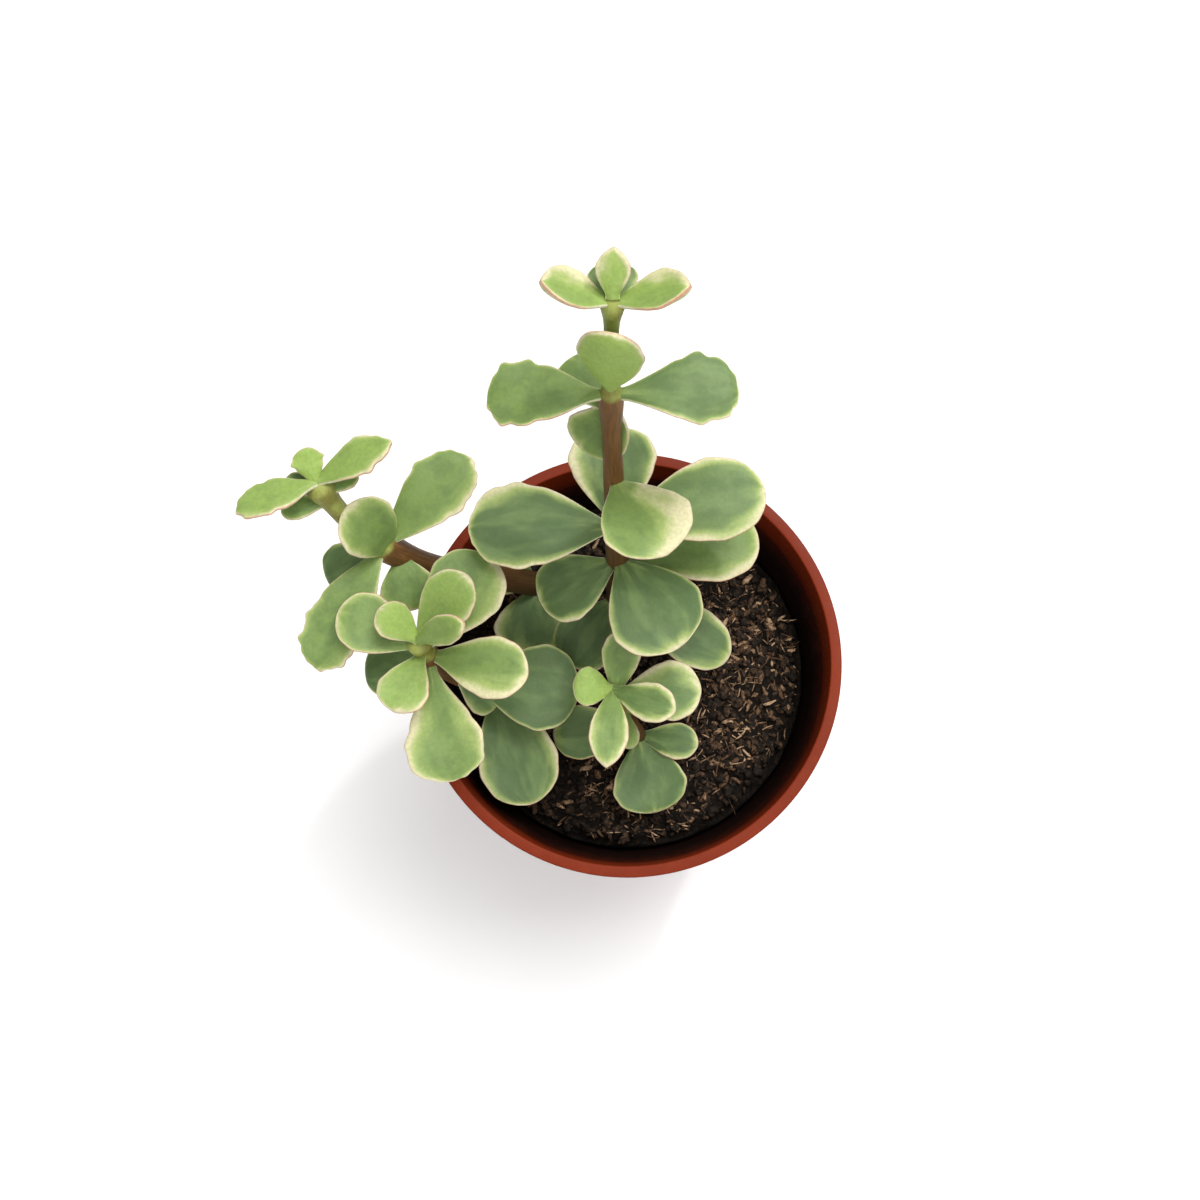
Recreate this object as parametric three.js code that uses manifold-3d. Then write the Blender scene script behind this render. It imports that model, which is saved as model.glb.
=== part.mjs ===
// A young variegated elephant bush in a round plastic nursery pot.
// Millimetres, +Z up, with the origin in the middle of the pot's underside.
import * as THREE from 'three';
import { mergeVertices } from 'three/addons/utils/BufferGeometryUtils.js';
import Module from 'manifold-3d';

const wasm = await Module();
wasm.setup();

// Pot: heights above the surface it stands on, and radii.
const POT_HEIGHT = 74;
const RIM_RADIUS = 42.5;
const LIP_WIDTH = 2.2;
const LIP_HEIGHT = 2.4;
const COLLAR_DEPTH = 12.5;
const COLLAR_TAPER = 0.7;
const LEDGE_HEIGHT = 5;
const WALL = 1.1;
const BODY_TOP_RADIUS = 39.3;
const FOOT_RADIUS = 29.5;
const FOOT_WIDTH = 5.5;
const FLOOR_THICKNESS = 1.3;
const CHANNEL_HEIGHT = 2.2;
const PAD_RADIUS = 9;
const DRAIN_COUNT = 8;
const DRAIN_RADIUS = 2.6;
const DRAIN_SIDES = 12;
const POT_SIDES = 48;
const EDGE_ROUND = 0.5;
const MERGE_DISTANCE = 1e-4;

// Soil: a solid plug with a small gap to the pot, and a lumpy top.
const SOIL_TOP = 58;
const SOIL_GAP = 0.3;
const SOIL_EDGE_GAP = 1.4;
const SOIL_EDGE_DROP = 1.6;
const SOIL_LUMP = 0.45;
const BROAD_LUMP = 22;
const FINE_LUMP = 17;
const FINE_SHARE = 0.6;
const SOIL_SIDES = 40;
const SOIL_RINGS = 8;

// Stems and leaves.
const STEM_SIDES = 8;
const STEM_STATIONS = 12;
const HOLE_GAP = 0.4;
const LEAF_MIDDLE_THICKNESS = 1.9;
const LEAF_EDGE_THICKNESS = 0.85;
const LEAF_STRIPS = 4;
const LEAF_STATIONS = [0, 0.16, 0.33, 0.5, 0.65, 0.78, 0.88, 0.955, 0.99];
const SMALL_LEAF = 13;
const SMALL_LEAF_STATIONS = [0, 0.2, 0.42, 0.63, 0.8, 0.92, 0.985];
const PETIOLE_HALF_WIDTH = 0.9;
const PETIOLE_END = 0.35;
const PETIOLE_TAPER = 0.7;
const BROADEN = 1.2;
const STEM_TAPER = 1.6;
const ROUND_END = 0.6;
const SCALLOP = 0.03;
const SCALLOP_PITCH = 0.22;
const SCALLOP_START = 0.42;
const SCALLOP_FULL = 0.6;
const RIPPLE = 0.05;
const RIPPLE_TURNS = 2;
const GENTLE_WAVE = 0.5;

// The way that the newest pair of leaves turns up at its sides and its end.
const CUPPED = { bend: -25, cup: 0.35, taper: 0.75 };

// Each stem: the four control points of its curve, and its radius at the soil and at the tip.
// Each leaf: where it leaves the stem (0 at the foot, 1 at the tip), the direction it points in
// from above (degrees anticlockwise from +X), its rise above level (degrees), its length and width,
// and where it needs them: its roll about its own length, how far it bends along its length
// (both in degrees), how far its sides lift, as a share of its half width, how its base broadens
// (1.2 is straight, more is slim for longer), how its end narrows (0.6 is round, 1 comes to a
// point) and how strongly its edges wave.
const STEMS = {
  tall_stem: {
    path: [[-4, 11, 50], [1, 11, 85], [-3, 26, 115], [-0.5, 41, 155]],
    foot: 2.5,
    tip: 1,
    leaves: [
      { at: 0.99, compass: 174, rise: 30, length: 12, width: 7.5, roll: 20, ...CUPPED },
      { at: 0.99, compass: 3, rise: 22, length: 12.5, width: 7.5, roll: -20, ...CUPPED },
      { at: 1, compass: 87, rise: 37, length: 7.5, width: 5.2, cup: 0.3, taper: 0.9 },
      { at: 0.985, compass: 88, rise: 5, length: 6.5, width: 7.5 },
      { at: 0.825, compass: 181, rise: 0, length: 20, width: 12, roll: 10, broaden: 1.5, wave: 1.6 },
      { at: 0.825, compass: 1, rise: 0, length: 20.5, width: 12, roll: -5, broaden: 1.5, wave: 1.4 },
      { at: 0.84, compass: 258, rise: 97, length: 18, width: 10.5, bend: -35 },
      { at: 0.79, compass: 128, rise: -5, length: 12, width: 8.5 },
      { at: 0.81, compass: 210, rise: -65, length: 16, width: 11, roll: -35, bend: -60 },
      { at: 0.495, compass: 181, rise: 5, length: 27, width: 16, bend: 10, wave: 1 },
      { at: 0.5, compass: 13, rise: 2, length: 28, width: 15.5 },
      { at: 0.63, compass: 301, rise: 20, length: 18.5, width: 16, roll: -10 },
      { at: 0.5, compass: 93, rise: 5, length: 18.5, width: 16 },
      { at: 0.38, compass: 11, rise: -8, length: 28, width: 15.5 },
      { at: 0.39, compass: 302, rise: 8, length: 21.5, width: 18 },
      { at: 0.38, compass: 208, rise: -10, length: 17, width: 13 },
      { at: 0.22, compass: 234, rise: -10, length: 17, width: 13 },
      { at: 0.22, compass: 332, rise: -10, length: 26, width: 12 },
    ],
  },
  left_stem: {
    path: [[-8, 15, 50], [-20, 23, 66], [-43, 8, 90], [-53, 25, 115]],
    foot: 2.7,
    tip: 1.7,
    leaves: [
      { at: 1, compass: 207, rise: 15, length: 15, width: 7.5, roll: 20, taper: 0.8, wave: 1.6 },
      { at: 1, compass: 23, rise: 15, length: 15.5, width: 7.5, roll: -15, taper: 0.8, wave: 1.6 },
      { at: 1, compass: 110, rise: 30, length: 6.5, width: 5.5, wave: 2 },
      { at: 0.97, compass: 160, rise: 5, length: 7.5, width: 4 },
      { at: 0.97, compass: 40, rise: 0, length: 7, width: 5 },
      { at: 0.95, compass: 193, rise: 0, length: 9, width: 4.5 },
      { at: 0.75, compass: 143, rise: 63, length: 16.2, width: 11.5, bend: 50 },
      { at: 0.77, compass: 43, rise: 10, length: 23, width: 12, wave: 1.4 },
      { at: 0.77, compass: 241, rise: -5, length: 26, width: 11.5, wave: 1.8 },
      { at: 0.77, compass: 203, rise: -20, length: 13.5, width: 9 },
      { at: 0.72, compass: 285, rise: -12, length: 11, width: 11 },
      { at: 0.25, compass: 262, rise: -5, length: 15, width: 15 },
      { at: 0.25, compass: 163, rise: 30, length: 14, width: 11 },
    ],
  },
  middle_stem: {
    path: [[-16, -3, 50], [-28, -4, 66], [-36, -6, 82], [-37, -0.5, 101]],
    foot: 2.2,
    tip: 1.4,
    leaves: [
      { at: 1, compass: 143, rise: 30, length: 9.5, width: 7 },
      { at: 1, compass: 46, rise: 26, length: 16, width: 10 },
      { at: 1, compass: 5, rise: 50, length: 15.5, width: 5.6, roll: 25 },
      { at: 0.93, compass: 54, rise: 3, length: 21, width: 14.5 },
      { at: 0.95, compass: 158, rise: 10, length: 16.5, width: 11 },
      { at: 0.88, compass: 346, rise: 15, length: 20.5, width: 11.5, broaden: 1.4 },
      { at: 0.92, compass: 250, rise: 20, length: 13.5, width: 9.5, broaden: 1.5 },
      { at: 0.86, compass: 282, rise: 0, length: 23.5, width: 14.5, broaden: 1.7, wave: 1.2 },
      { at: 0.8, compass: 187, rise: -10, length: 14, width: 10 },
      { at: 0.62, compass: 322, rise: -35, length: 11, width: 7 },
      { at: 0.5, compass: 353, rise: 0, length: 21.5, width: 17 },
      { at: 0.35, compass: 288.5, rise: 0, length: 25.5, width: 16 },
    ],
  },
  front_shoot: {
    path: [[3, -15, 50], [3, -15, 66], [0, -11, 72], [-2.5, -7.5, 84]],
    foot: 1.6,
    tip: 1.1,
    leaves: [
      { at: 1, compass: 175, rise: 20, length: 8, width: 7.5 },
      { at: 1, compass: 266, rise: 18, length: 16, width: 7.5, taper: 0.8 },
      { at: 1, compass: 338, rise: 24, length: 14, width: 7.5 },
      { at: 0.92, compass: 4, rise: 6, length: 16.5, width: 11.5 },
      { at: 0.94, compass: 80, rise: 22, length: 13, width: 7.5 },
      { at: 0.75, compass: 280, rise: 0, length: 8, width: 4.5 },
      { at: 0.3, compass: 350, rise: 10, length: 12.5, width: 7.5 },
      { at: 0.3, compass: 282, rise: 0, length: 16, width: 15 },
      { at: 0.4, compass: 182, rise: 0, length: 17, width: 11 },
    ],
  },
};

function finish(color, roughness) {
  return new THREE.MeshStandardMaterial({ color, roughness, metalness: 0 });
}

const MATERIALS = {
  pot: finish(0xa04a30, 0.55),
  soil: finish(0x2c221b, 0.95),
  leaf: finish(0x86a068, 0.45),
};

// A body's faces with shared corners, as the library that joins and cuts needs them.
function toSolid(geometry) {
  const bare = geometry.clone();
  bare.deleteAttribute('normal');
  bare.deleteAttribute('uv');
  const merged = mergeVertices(bare, MERGE_DISTANCE);
  const corners = merged.index.array;
  const triVerts = [];
  for (let i = 0; i < corners.length; i += 3) {
    const [a, b, c] = [corners[i], corners[i + 1], corners[i + 2]];
    if (a !== b && b !== c && c !== a) {
      triVerts.push(a, b, c);
    }
  }
  const vertProperties = new Float32Array(merged.attributes.position.array);
  return new wasm.Manifold(new wasm.Mesh({
    numProp: 3,
    vertProperties,
    triVerts: new Uint32Array(triVerts),
  }));
}

function toGeometry(solid) {
  const mesh = solid.getMesh();
  const geometry = new THREE.BufferGeometry();
  geometry.setAttribute('position', new THREE.BufferAttribute(mesh.vertProperties, mesh.numProp));
  geometry.setIndex(new THREE.BufferAttribute(mesh.triVerts, 1));
  geometry.computeVertexNormals();
  return geometry;
}

// A turned body about +Z from [radius, height] pairs that run up the outside.
function turned(profile, sides) {
  const points = profile.map(([radius, height]) => new THREE.Vector2(radius, height));
  return new THREE.LatheGeometry(points, sides).rotateX(Math.PI / 2);
}

// A closed body from a grid of points over its top and a matching grid under it.
// Both faces are split into triangles alike, so that they never meet.
function slab(top, under) {
  const rows = top.length;
  const columns = top[0].length;
  const positions = [...top.flat(), ...under.flat()].flatMap((point) => point.toArray());
  const above = (i, j) => i * columns + j;
  const below = (i, j) => rows * columns + i * columns + j;
  const index = [];
  const quad = (a, b, c, d) => index.push(a, b, c, a, c, d);
  for (let i = 0; i + 1 < rows; i += 1) {
    for (let j = 0; j + 1 < columns; j += 1) {
      quad(above(i, j), above(i + 1, j), above(i + 1, j + 1), above(i, j + 1));
      index.push(below(i, j), below(i + 1, j + 1), below(i + 1, j));
      index.push(below(i, j), below(i, j + 1), below(i + 1, j + 1));
    }
    quad(above(i, 0), below(i, 0), below(i + 1, 0), above(i + 1, 0));
    const last = columns - 1;
    quad(above(i + 1, last), below(i + 1, last), below(i, last), above(i, last));
  }
  for (let j = 0; j + 1 < columns; j += 1) {
    quad(above(0, j), above(0, j + 1), below(0, j + 1), below(0, j));
    const end = rows - 1;
    quad(above(end, j + 1), above(end, j), below(end, j), below(end, j + 1));
  }
  const geometry = new THREE.BufferGeometry();
  geometry.setAttribute('position', new THREE.Float32BufferAttribute(positions, 3));
  geometry.setIndex(index);
  return geometry;
}

// Half the width of a leaf at u along it: a narrow petiole, broadest two thirds out, round at the end.
function halfWidth(u, leaf) {
  const { width, broaden = BROADEN, taper = ROUND_END, wave = GENTLE_WAVE } = leaf;
  const peak = broaden / (broaden + taper);
  const share = (x) => x ** broaden * (1 - x) ** taper;
  const blade = (width / 2) * (share(u) / share(peak));
  const petiole = PETIOLE_HALF_WIDTH * Math.max(0, 1 - u / PETIOLE_END) ** PETIOLE_TAPER;
  const far = THREE.MathUtils.smoothstep(u, SCALLOP_START, SCALLOP_FULL);
  const scallop = 1 + wave * SCALLOP * far * Math.cos((2 * Math.PI * u) / SCALLOP_PITCH);
  return Math.max(blade * scallop, petiole);
}

// One leaf: a blade whose middle line bends evenly, with lifted and rippled sides.
function leafBody(root, leaf) {
  const { compass, rise, length } = leaf;
  const { roll = 0, bend = 20, cup = 0.2, wave = GENTLE_WAVE } = leaf;
  const degrees = THREE.MathUtils.degToRad;
  const heading = new THREE.Vector3(Math.cos(degrees(compass)), Math.sin(degrees(compass)), 0);
  const sideways = new THREE.Vector3(-heading.y, heading.x, 0);
  const stations = length < SMALL_LEAF ? SMALL_LEAF_STATIONS : LEAF_STATIONS;
  const middle = root.clone();
  const top = [];
  const under = [];
  let previous = 0;
  for (const u of stations) {
    const half = (u + previous) / 2;
    const slope = degrees(rise + bend * (0.5 - half));
    middle.addScaledVector(heading, length * (u - previous) * Math.cos(slope));
    middle.z += length * (u - previous) * Math.sin(slope);
    previous = u;
    const here = degrees(rise + bend * (0.5 - u));
    const along = heading.clone().multiplyScalar(Math.cos(here)).setZ(Math.sin(here));
    const across = sideways.clone().applyAxisAngle(along, degrees(roll));
    const up = along.clone().cross(across);
    const reach = halfWidth(u, leaf);
    const ripple = wave * RIPPLE * Math.sin(2 * Math.PI * RIPPLE_TURNS * u);
    const topRow = [];
    const underRow = [];
    for (let j = 0; j <= LEAF_STRIPS; j += 1) {
      const v = (2 * j) / LEAF_STRIPS - 1;
      const thickness = THREE.MathUtils.lerp(LEAF_MIDDLE_THICKNESS, LEAF_EDGE_THICKNESS, v * v);
      const lift = reach * (cup * v * v + ripple * v * v * v);
      const sheet = middle.clone().addScaledVector(across, reach * v).addScaledVector(up, lift);
      topRow.push(sheet.clone().addScaledVector(up, thickness / 2));
      underRow.push(sheet.clone().addScaledVector(up, -thickness / 2));
    }
    top.push(topRow);
    under.push(underRow);
  }
  return slab(top, under);
}

// A round bar along a curve, with its two radii grown by extra, and its foot let down by as much.
function stemBody({ path, foot, tip }, extra) {
  const curve = new THREE.CubicBezierCurve3(...path.map((point) => new THREE.Vector3(...point)));
  const positions = [];
  const index = [];
  const reference = new THREE.Vector3(0, 1, 0);
  for (let i = 0; i <= STEM_STATIONS; i += 1) {
    const t = i / STEM_STATIONS;
    const along = curve.getTangent(t);
    const across = along.clone().cross(reference).normalize();
    const radius = THREE.MathUtils.lerp(foot, tip, t ** STEM_TAPER) + extra;
    const centre = curve.getPoint(t);
    if (i === 0) {
      centre.addScaledVector(along, -extra);
    }
    for (let j = 0; j < STEM_SIDES; j += 1) {
      const spoke = across.clone().applyAxisAngle(along, (2 * Math.PI * j) / STEM_SIDES);
      positions.push(...centre.clone().addScaledVector(spoke, radius).toArray());
      const next = (j + 1) % STEM_SIDES;
      const base = i * STEM_SIDES;
      if (i < STEM_STATIONS) {
        index.push(base + j, base + next, base + STEM_SIDES + next);
        index.push(base + j, base + STEM_SIDES + next, base + STEM_SIDES + j);
      }
    }
  }
  const end = STEM_STATIONS * STEM_SIDES;
  for (let j = 1; j + 1 < STEM_SIDES; j += 1) {
    index.push(0, j + 1, j);
    index.push(end, end + j, end + j + 1);
  }
  const geometry = new THREE.BufferGeometry();
  geometry.setAttribute('position', new THREE.Float32BufferAttribute(positions, 3));
  geometry.setIndex(index);
  return geometry;
}

// One leafy stem: the stem and all of its leaves grown together, as one solid.
function leafyStem(stem) {
  const curve = new THREE.CubicBezierCurve3(...stem.path.map((point) => new THREE.Vector3(...point)));
  let solid = toSolid(stemBody(stem, 0));
  for (const leaf of stem.leaves) {
    solid = solid.add(toSolid(leafBody(curve.getPoint(leaf.at), leaf)));
  }
  return toGeometry(solid);
}

// The wall's inner radius at a height, below the step under the collar.
function innerRadius(height) {
  const top = POT_HEIGHT - COLLAR_DEPTH;
  return THREE.MathUtils.mapLinear(height, 0, top, FOOT_RADIUS, BODY_TOP_RADIUS) - WALL;
}

// The pot: foot ring, channel and middle pad below, tapered wall, step out to the collar, rounded lip.
function potBody() {
  const step = POT_HEIGHT - COLLAR_DEPTH;
  const lipInner = RIM_RADIUS - LIP_WIDTH;
  const collarOuter = RIM_RADIUS - EDGE_ROUND;
  const floor = CHANNEL_HEIGHT + FLOOR_THICKNESS;
  const channelOuter = FOOT_RADIUS - FOOT_WIDTH;
  const profile = [
    [0, 0],
    [PAD_RADIUS, 0],
    [PAD_RADIUS + EDGE_ROUND, CHANNEL_HEIGHT],
    [channelOuter - EDGE_ROUND, CHANNEL_HEIGHT],
    [channelOuter, 0],
    [FOOT_RADIUS - EDGE_ROUND, 0],
    [FOOT_RADIUS, EDGE_ROUND],
    [BODY_TOP_RADIUS, step],
    [collarOuter - COLLAR_TAPER - EDGE_ROUND, step + EDGE_ROUND],
    [collarOuter - COLLAR_TAPER, step + 2 * EDGE_ROUND],
    [collarOuter, POT_HEIGHT - LIP_HEIGHT],
    [RIM_RADIUS, POT_HEIGHT - LIP_HEIGHT + EDGE_ROUND],
    [RIM_RADIUS, POT_HEIGHT - EDGE_ROUND],
    [RIM_RADIUS - EDGE_ROUND, POT_HEIGHT],
    [lipInner + EDGE_ROUND, POT_HEIGHT],
    [lipInner, POT_HEIGHT - EDGE_ROUND],
    [lipInner - COLLAR_TAPER, step + LEDGE_HEIGHT],
    [innerRadius(step), step],
    [innerRadius(floor), floor],
    [0, floor],
  ];
  let solid = toSolid(turned(profile, POT_SIDES));
  const drainCircle = (PAD_RADIUS + channelOuter) / 2;
  for (let i = 0; i < DRAIN_COUNT; i += 1) {
    const angle = (2 * Math.PI * i) / DRAIN_COUNT;
    const drain = new THREE.CylinderGeometry(DRAIN_RADIUS, DRAIN_RADIUS, 2 * floor, DRAIN_SIDES);
    drain.rotateX(Math.PI / 2);
    drain.translate(drainCircle * Math.cos(angle), drainCircle * Math.sin(angle), floor);
    solid = solid.subtract(toSolid(drain));
  }
  return toGeometry(solid);
}

// The lumps of the soil's top: broad crossed waves and finer slanted ones.
function lumps(x, y) {
  const broad = Math.sin((2 * Math.PI * x) / BROAD_LUMP) * Math.cos((2 * Math.PI * y) / BROAD_LUMP);
  const slanted = Math.sin((2 * Math.PI * (x - y)) / FINE_LUMP);
  const steeper = Math.cos((2 * Math.PI * (x + 2 * y)) / FINE_LUMP);
  return SOIL_LUMP * (broad + FINE_SHARE * (slanted + steeper));
}

// The soil: fills the pot's inside to a little under the step, with plain holes for the stems.
function soilBody() {
  const floor = CHANNEL_HEIGHT + FLOOR_THICKNESS + SOIL_GAP;
  const shoulder = SOIL_TOP - 2 * SOIL_EDGE_DROP;
  const edge = innerRadius(SOIL_TOP) - SOIL_EDGE_GAP;
  const profile = [
    [0, floor],
    [innerRadius(floor) - 2 * SOIL_GAP, floor],
    [innerRadius(shoulder) - 2 * SOIL_GAP, shoulder],
    [edge, SOIL_TOP - SOIL_EDGE_DROP],
  ];
  for (let i = SOIL_RINGS - 1; i >= 0; i -= 1) {
    profile.push([(edge - SOIL_EDGE_DROP) * (i / (SOIL_RINGS - 1)), SOIL_TOP]);
  }
  const geometry = turned(profile, SOIL_SIDES);
  const place = geometry.attributes.position;
  for (let i = 0; i < place.count; i += 1) {
    if (place.getZ(i) > SOIL_TOP - SOIL_EDGE_DROP / 2) {
      place.setZ(i, SOIL_TOP + lumps(place.getX(i), place.getY(i)));
    }
  }
  let solid = toSolid(geometry);
  for (const stem of Object.values(STEMS)) {
    solid = solid.subtract(toSolid(stemBody(stem, HOLE_GAP)));
  }
  return toGeometry(solid);
}

function part(name, geometry, material) {
  const mesh = new THREE.Mesh(geometry, material);
  mesh.name = name;
  return mesh;
}

const group = new THREE.Group();
group.add(part('pot', potBody(), MATERIALS.pot));
group.add(part('soil', soilBody(), MATERIALS.soil));
for (const [name, stem] of Object.entries(STEMS)) {
  group.add(part(name, leafyStem(stem), MATERIALS.leaf));
}

export default group;
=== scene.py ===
"""Looks of the potted elephant bush: pot, soil, four leafy stems, studio light and camera.

Sizes are in millimetres, and every mesh is turned into metres as it is made. +Z is up, and the
origin is the middle of the pot's underside.
"""

import logging
import math
from dataclasses import dataclass, field
from enum import Enum
from typing import Optional, Union

import bmesh
import bpy
import numpy as np
from mathutils import Matrix


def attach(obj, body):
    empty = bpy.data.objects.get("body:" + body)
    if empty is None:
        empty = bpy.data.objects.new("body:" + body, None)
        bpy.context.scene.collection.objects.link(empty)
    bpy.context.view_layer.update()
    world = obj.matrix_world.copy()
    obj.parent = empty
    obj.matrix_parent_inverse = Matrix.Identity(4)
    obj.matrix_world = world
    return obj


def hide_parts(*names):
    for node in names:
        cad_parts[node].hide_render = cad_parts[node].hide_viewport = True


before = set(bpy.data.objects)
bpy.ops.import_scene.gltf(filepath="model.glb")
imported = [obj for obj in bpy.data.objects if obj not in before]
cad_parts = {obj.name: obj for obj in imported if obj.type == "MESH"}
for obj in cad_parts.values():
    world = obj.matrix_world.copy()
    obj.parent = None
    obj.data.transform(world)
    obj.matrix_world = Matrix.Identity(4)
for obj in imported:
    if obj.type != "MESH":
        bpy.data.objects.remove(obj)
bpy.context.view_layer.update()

MM = 0.001
BODY = "root"
MIX_FIRST = 6
MIX_SECOND = 7
MIX_RESULT = 2
LATTICE = 256
TURN = 2 * np.pi
Array = np.ndarray
Span = tuple[float, float]
Colour = tuple[float, float, float, float]
Material = bpy.types.Material
Piece = bpy.types.Object
Socket = bpy.types.NodeSocket
Value = Union[Socket, float, Colour]

log = logging.getLogger("potted_plant")


def srgb(red: int, green: int, blue: int) -> Colour:
    """Turn a colour as a screen shows it into the linear values that shaders take.

    Args:
        red: Red, 0 to 255.
        green: Green, 0 to 255.
        blue: Blue, 0 to 255.

    Returns:
        Linear red, green, blue and an alpha of 1.
    """
    shares = np.array([red, green, blue]) / 255.0
    linear = np.where(shares <= 0.04045, shares / 12.92, ((shares + 0.055) / 1.055) ** 2.4)
    return (*map(float, linear), 1.0)


def smoothstep(value: Array, low: float | Array, high: float | Array) -> Array:
    """Rise evenly from 0 at low to 1 at high, with soft ends: 3t^2 - 2t^3.

    Args:
        value: What is measured.
        low: Where the rise starts.
        high: Where the rise ends.

    Returns:
        Shares from 0 to 1, in the shape of value.
    """
    share = np.clip((value - low) / (high - low), 0.0, 1.0)
    return share * share * (3.0 - 2.0 * share)


def value_noise(x: Array, y: Array, cell: float, seed: int) -> Array:
    """Smooth random heights over the plane.

    Each corner of a square lattice has a random height, and a point takes the mean of its four
    corners, weighed by the soft distance to each.

    Args:
        x: Places along X.
        y: Places along Y.
        cell: The lattice's pitch, in the units of x.
        seed: Seed of the random heights.

    Returns:
        Heights from -1 to 1, in the shape of x.
    """
    side = LATTICE
    heights = np.random.default_rng(seed).uniform(-1.0, 1.0, (side, side))
    column, row = np.floor(x / cell).astype(int), np.floor(y / cell).astype(int)
    across = smoothstep(x / cell - column, 0.0, 1.0)
    along = smoothstep(y / cell - row, 0.0, 1.0)
    left, right = column % side, (column + 1) % side
    bottom, top = row % side, (row + 1) % side
    near = heights[left, bottom] * (1 - across) + heights[right, bottom] * across
    far = heights[left, top] * (1 - across) + heights[right, top] * across
    return near * (1 - along) + far * along


def round_angles(count: int) -> Array:
    """Give that many angles, spread evenly round a circle from 0."""
    return np.arange(count) * 2 * np.pi / count


def tube_faces(rows: int, columns: int, first: int = 0) -> Array:
    """Four-sided faces of a surface that closes round its columns.

    Args:
        rows: Rings of points.
        columns: Points in each ring.
        first: Index of the first point.

    Returns:
        An array of faces, each with four point indices.
    """
    row, column = np.meshgrid(np.arange(rows - 1), np.arange(columns), indexing="ij")
    following = (column + 1) % columns
    corners = [
        row * columns + column,
        row * columns + following,
        (row + 1) * columns + following,
        (row + 1) * columns + column,
    ]
    return first + np.stack(corners, axis=-1).reshape(-1, 4)


def cap_faces(ring: int, pole: int, columns: int, at_start: bool) -> Array:
    """Three-sided faces that close a ring of points at its pole.

    Args:
        ring: Index of the ring's first point.
        pole: Index of the pole.
        columns: Points in the ring.
        at_start: Whether the pole comes before the ring, which turns the faces round.

    Returns:
        An array of faces, each with three point indices.
    """
    here = np.arange(columns)
    following = (here + 1) % columns
    ends = (following, here) if at_start else (here, following)
    return np.stack([np.full(columns, pole), ring + ends[0], ring + ends[1]], axis=-1)


@dataclass
class Surface:
    """Points, faces and measures of one closed surface or of several joined ones."""

    points: Array
    faces: list[Array]
    measures: dict[str, Array] = field(default_factory=dict)

    @staticmethod
    def tube(rings: Array, start: Array, end: Array, measures: dict[str, Array] | None = None) -> "Surface":
        """Close a grid of rings with a pole at each end.

        Args:
            rings: Places, with the shape rows, columns, 3.
            start: The pole before the first ring.
            end: The pole after the last ring.
            measures: Values for each grid point. A pole takes the mean of the ring next to it.

        Returns:
            The closed surface.
        """
        rows, columns = rings.shape[:2]
        count = rows * columns
        points = np.concatenate([rings.reshape(-1, 3), start[None], end[None]])
        faces = [
            tube_faces(rows, columns),
            cap_faces(0, count, columns, True),
            cap_faces(count - columns, count + 1, columns, False),
        ]
        kept = {
            name: np.concatenate([value.reshape(-1), [value[0].mean()], [value[-1].mean()]])
            for name, value in (measures or {}).items()
        }
        return Surface(points, faces, kept)

    @staticmethod
    def joined(surfaces: list["Surface"]) -> "Surface":
        """Put several surfaces into one, each with its own points.

        Args:
            surfaces: Surfaces that hold the same measures.

        Returns:
            One surface with all of their points and faces.
        """
        starts = np.cumsum([0] + [len(surface.points) for surface in surfaces[:-1]])
        faces = [face + start for surface, start in zip(surfaces, starts) for face in surface.faces]
        names = surfaces[0].measures
        measures = {name: np.concatenate([surface.measures[name] for surface in surfaces]) for name in names}
        return Surface(np.concatenate([surface.points for surface in surfaces]), faces, measures)

    def to_object(self, name: str, material: Material, weld: float = 0.0) -> Piece:
        """Make a smooth-shaded Blender object from the surface.

        Args:
            name: The object's name.
            material: Its material.
            weld: Points closer than this, in millimetres, become one.

        Returns:
            The object, at the origin, with its place in its mesh.
        """
        mesh = bpy.data.meshes.new(name)
        loops = np.concatenate([face.reshape(-1) for face in self.faces])
        sizes = np.concatenate([np.full(len(face), face.shape[1]) for face in self.faces])
        mesh.vertices.add(len(self.points))
        mesh.vertices.foreach_set("co", (self.points * MM).astype(np.float32).reshape(-1))
        mesh.loops.add(len(loops))
        mesh.loops.foreach_set("vertex_index", loops.astype(np.int32))
        mesh.polygons.add(len(sizes))
        starts = np.concatenate([[0], np.cumsum(sizes)[:-1]])
        mesh.polygons.foreach_set("loop_start", starts.astype(np.int32))
        mesh.polygons.foreach_set("use_smooth", np.ones(len(sizes), dtype=bool))
        for label, values in self.measures.items():
            attribute = mesh.attributes.new(label, "FLOAT", "POINT")
            attribute.data.foreach_set("value", values.astype(np.float32))
        mesh.update(calc_edges=True)
        mesh.validate()
        if weld:
            welded = bmesh.new()
            welded.from_mesh(mesh)
            bmesh.ops.remove_doubles(welded, verts=welded.verts, dist=weld * MM)
            welded.to_mesh(mesh)
            welded.free()
        mesh.materials.append(material)
        piece = bpy.data.objects.new(name, mesh)
        bpy.context.scene.collection.objects.link(piece)
        return piece


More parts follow.
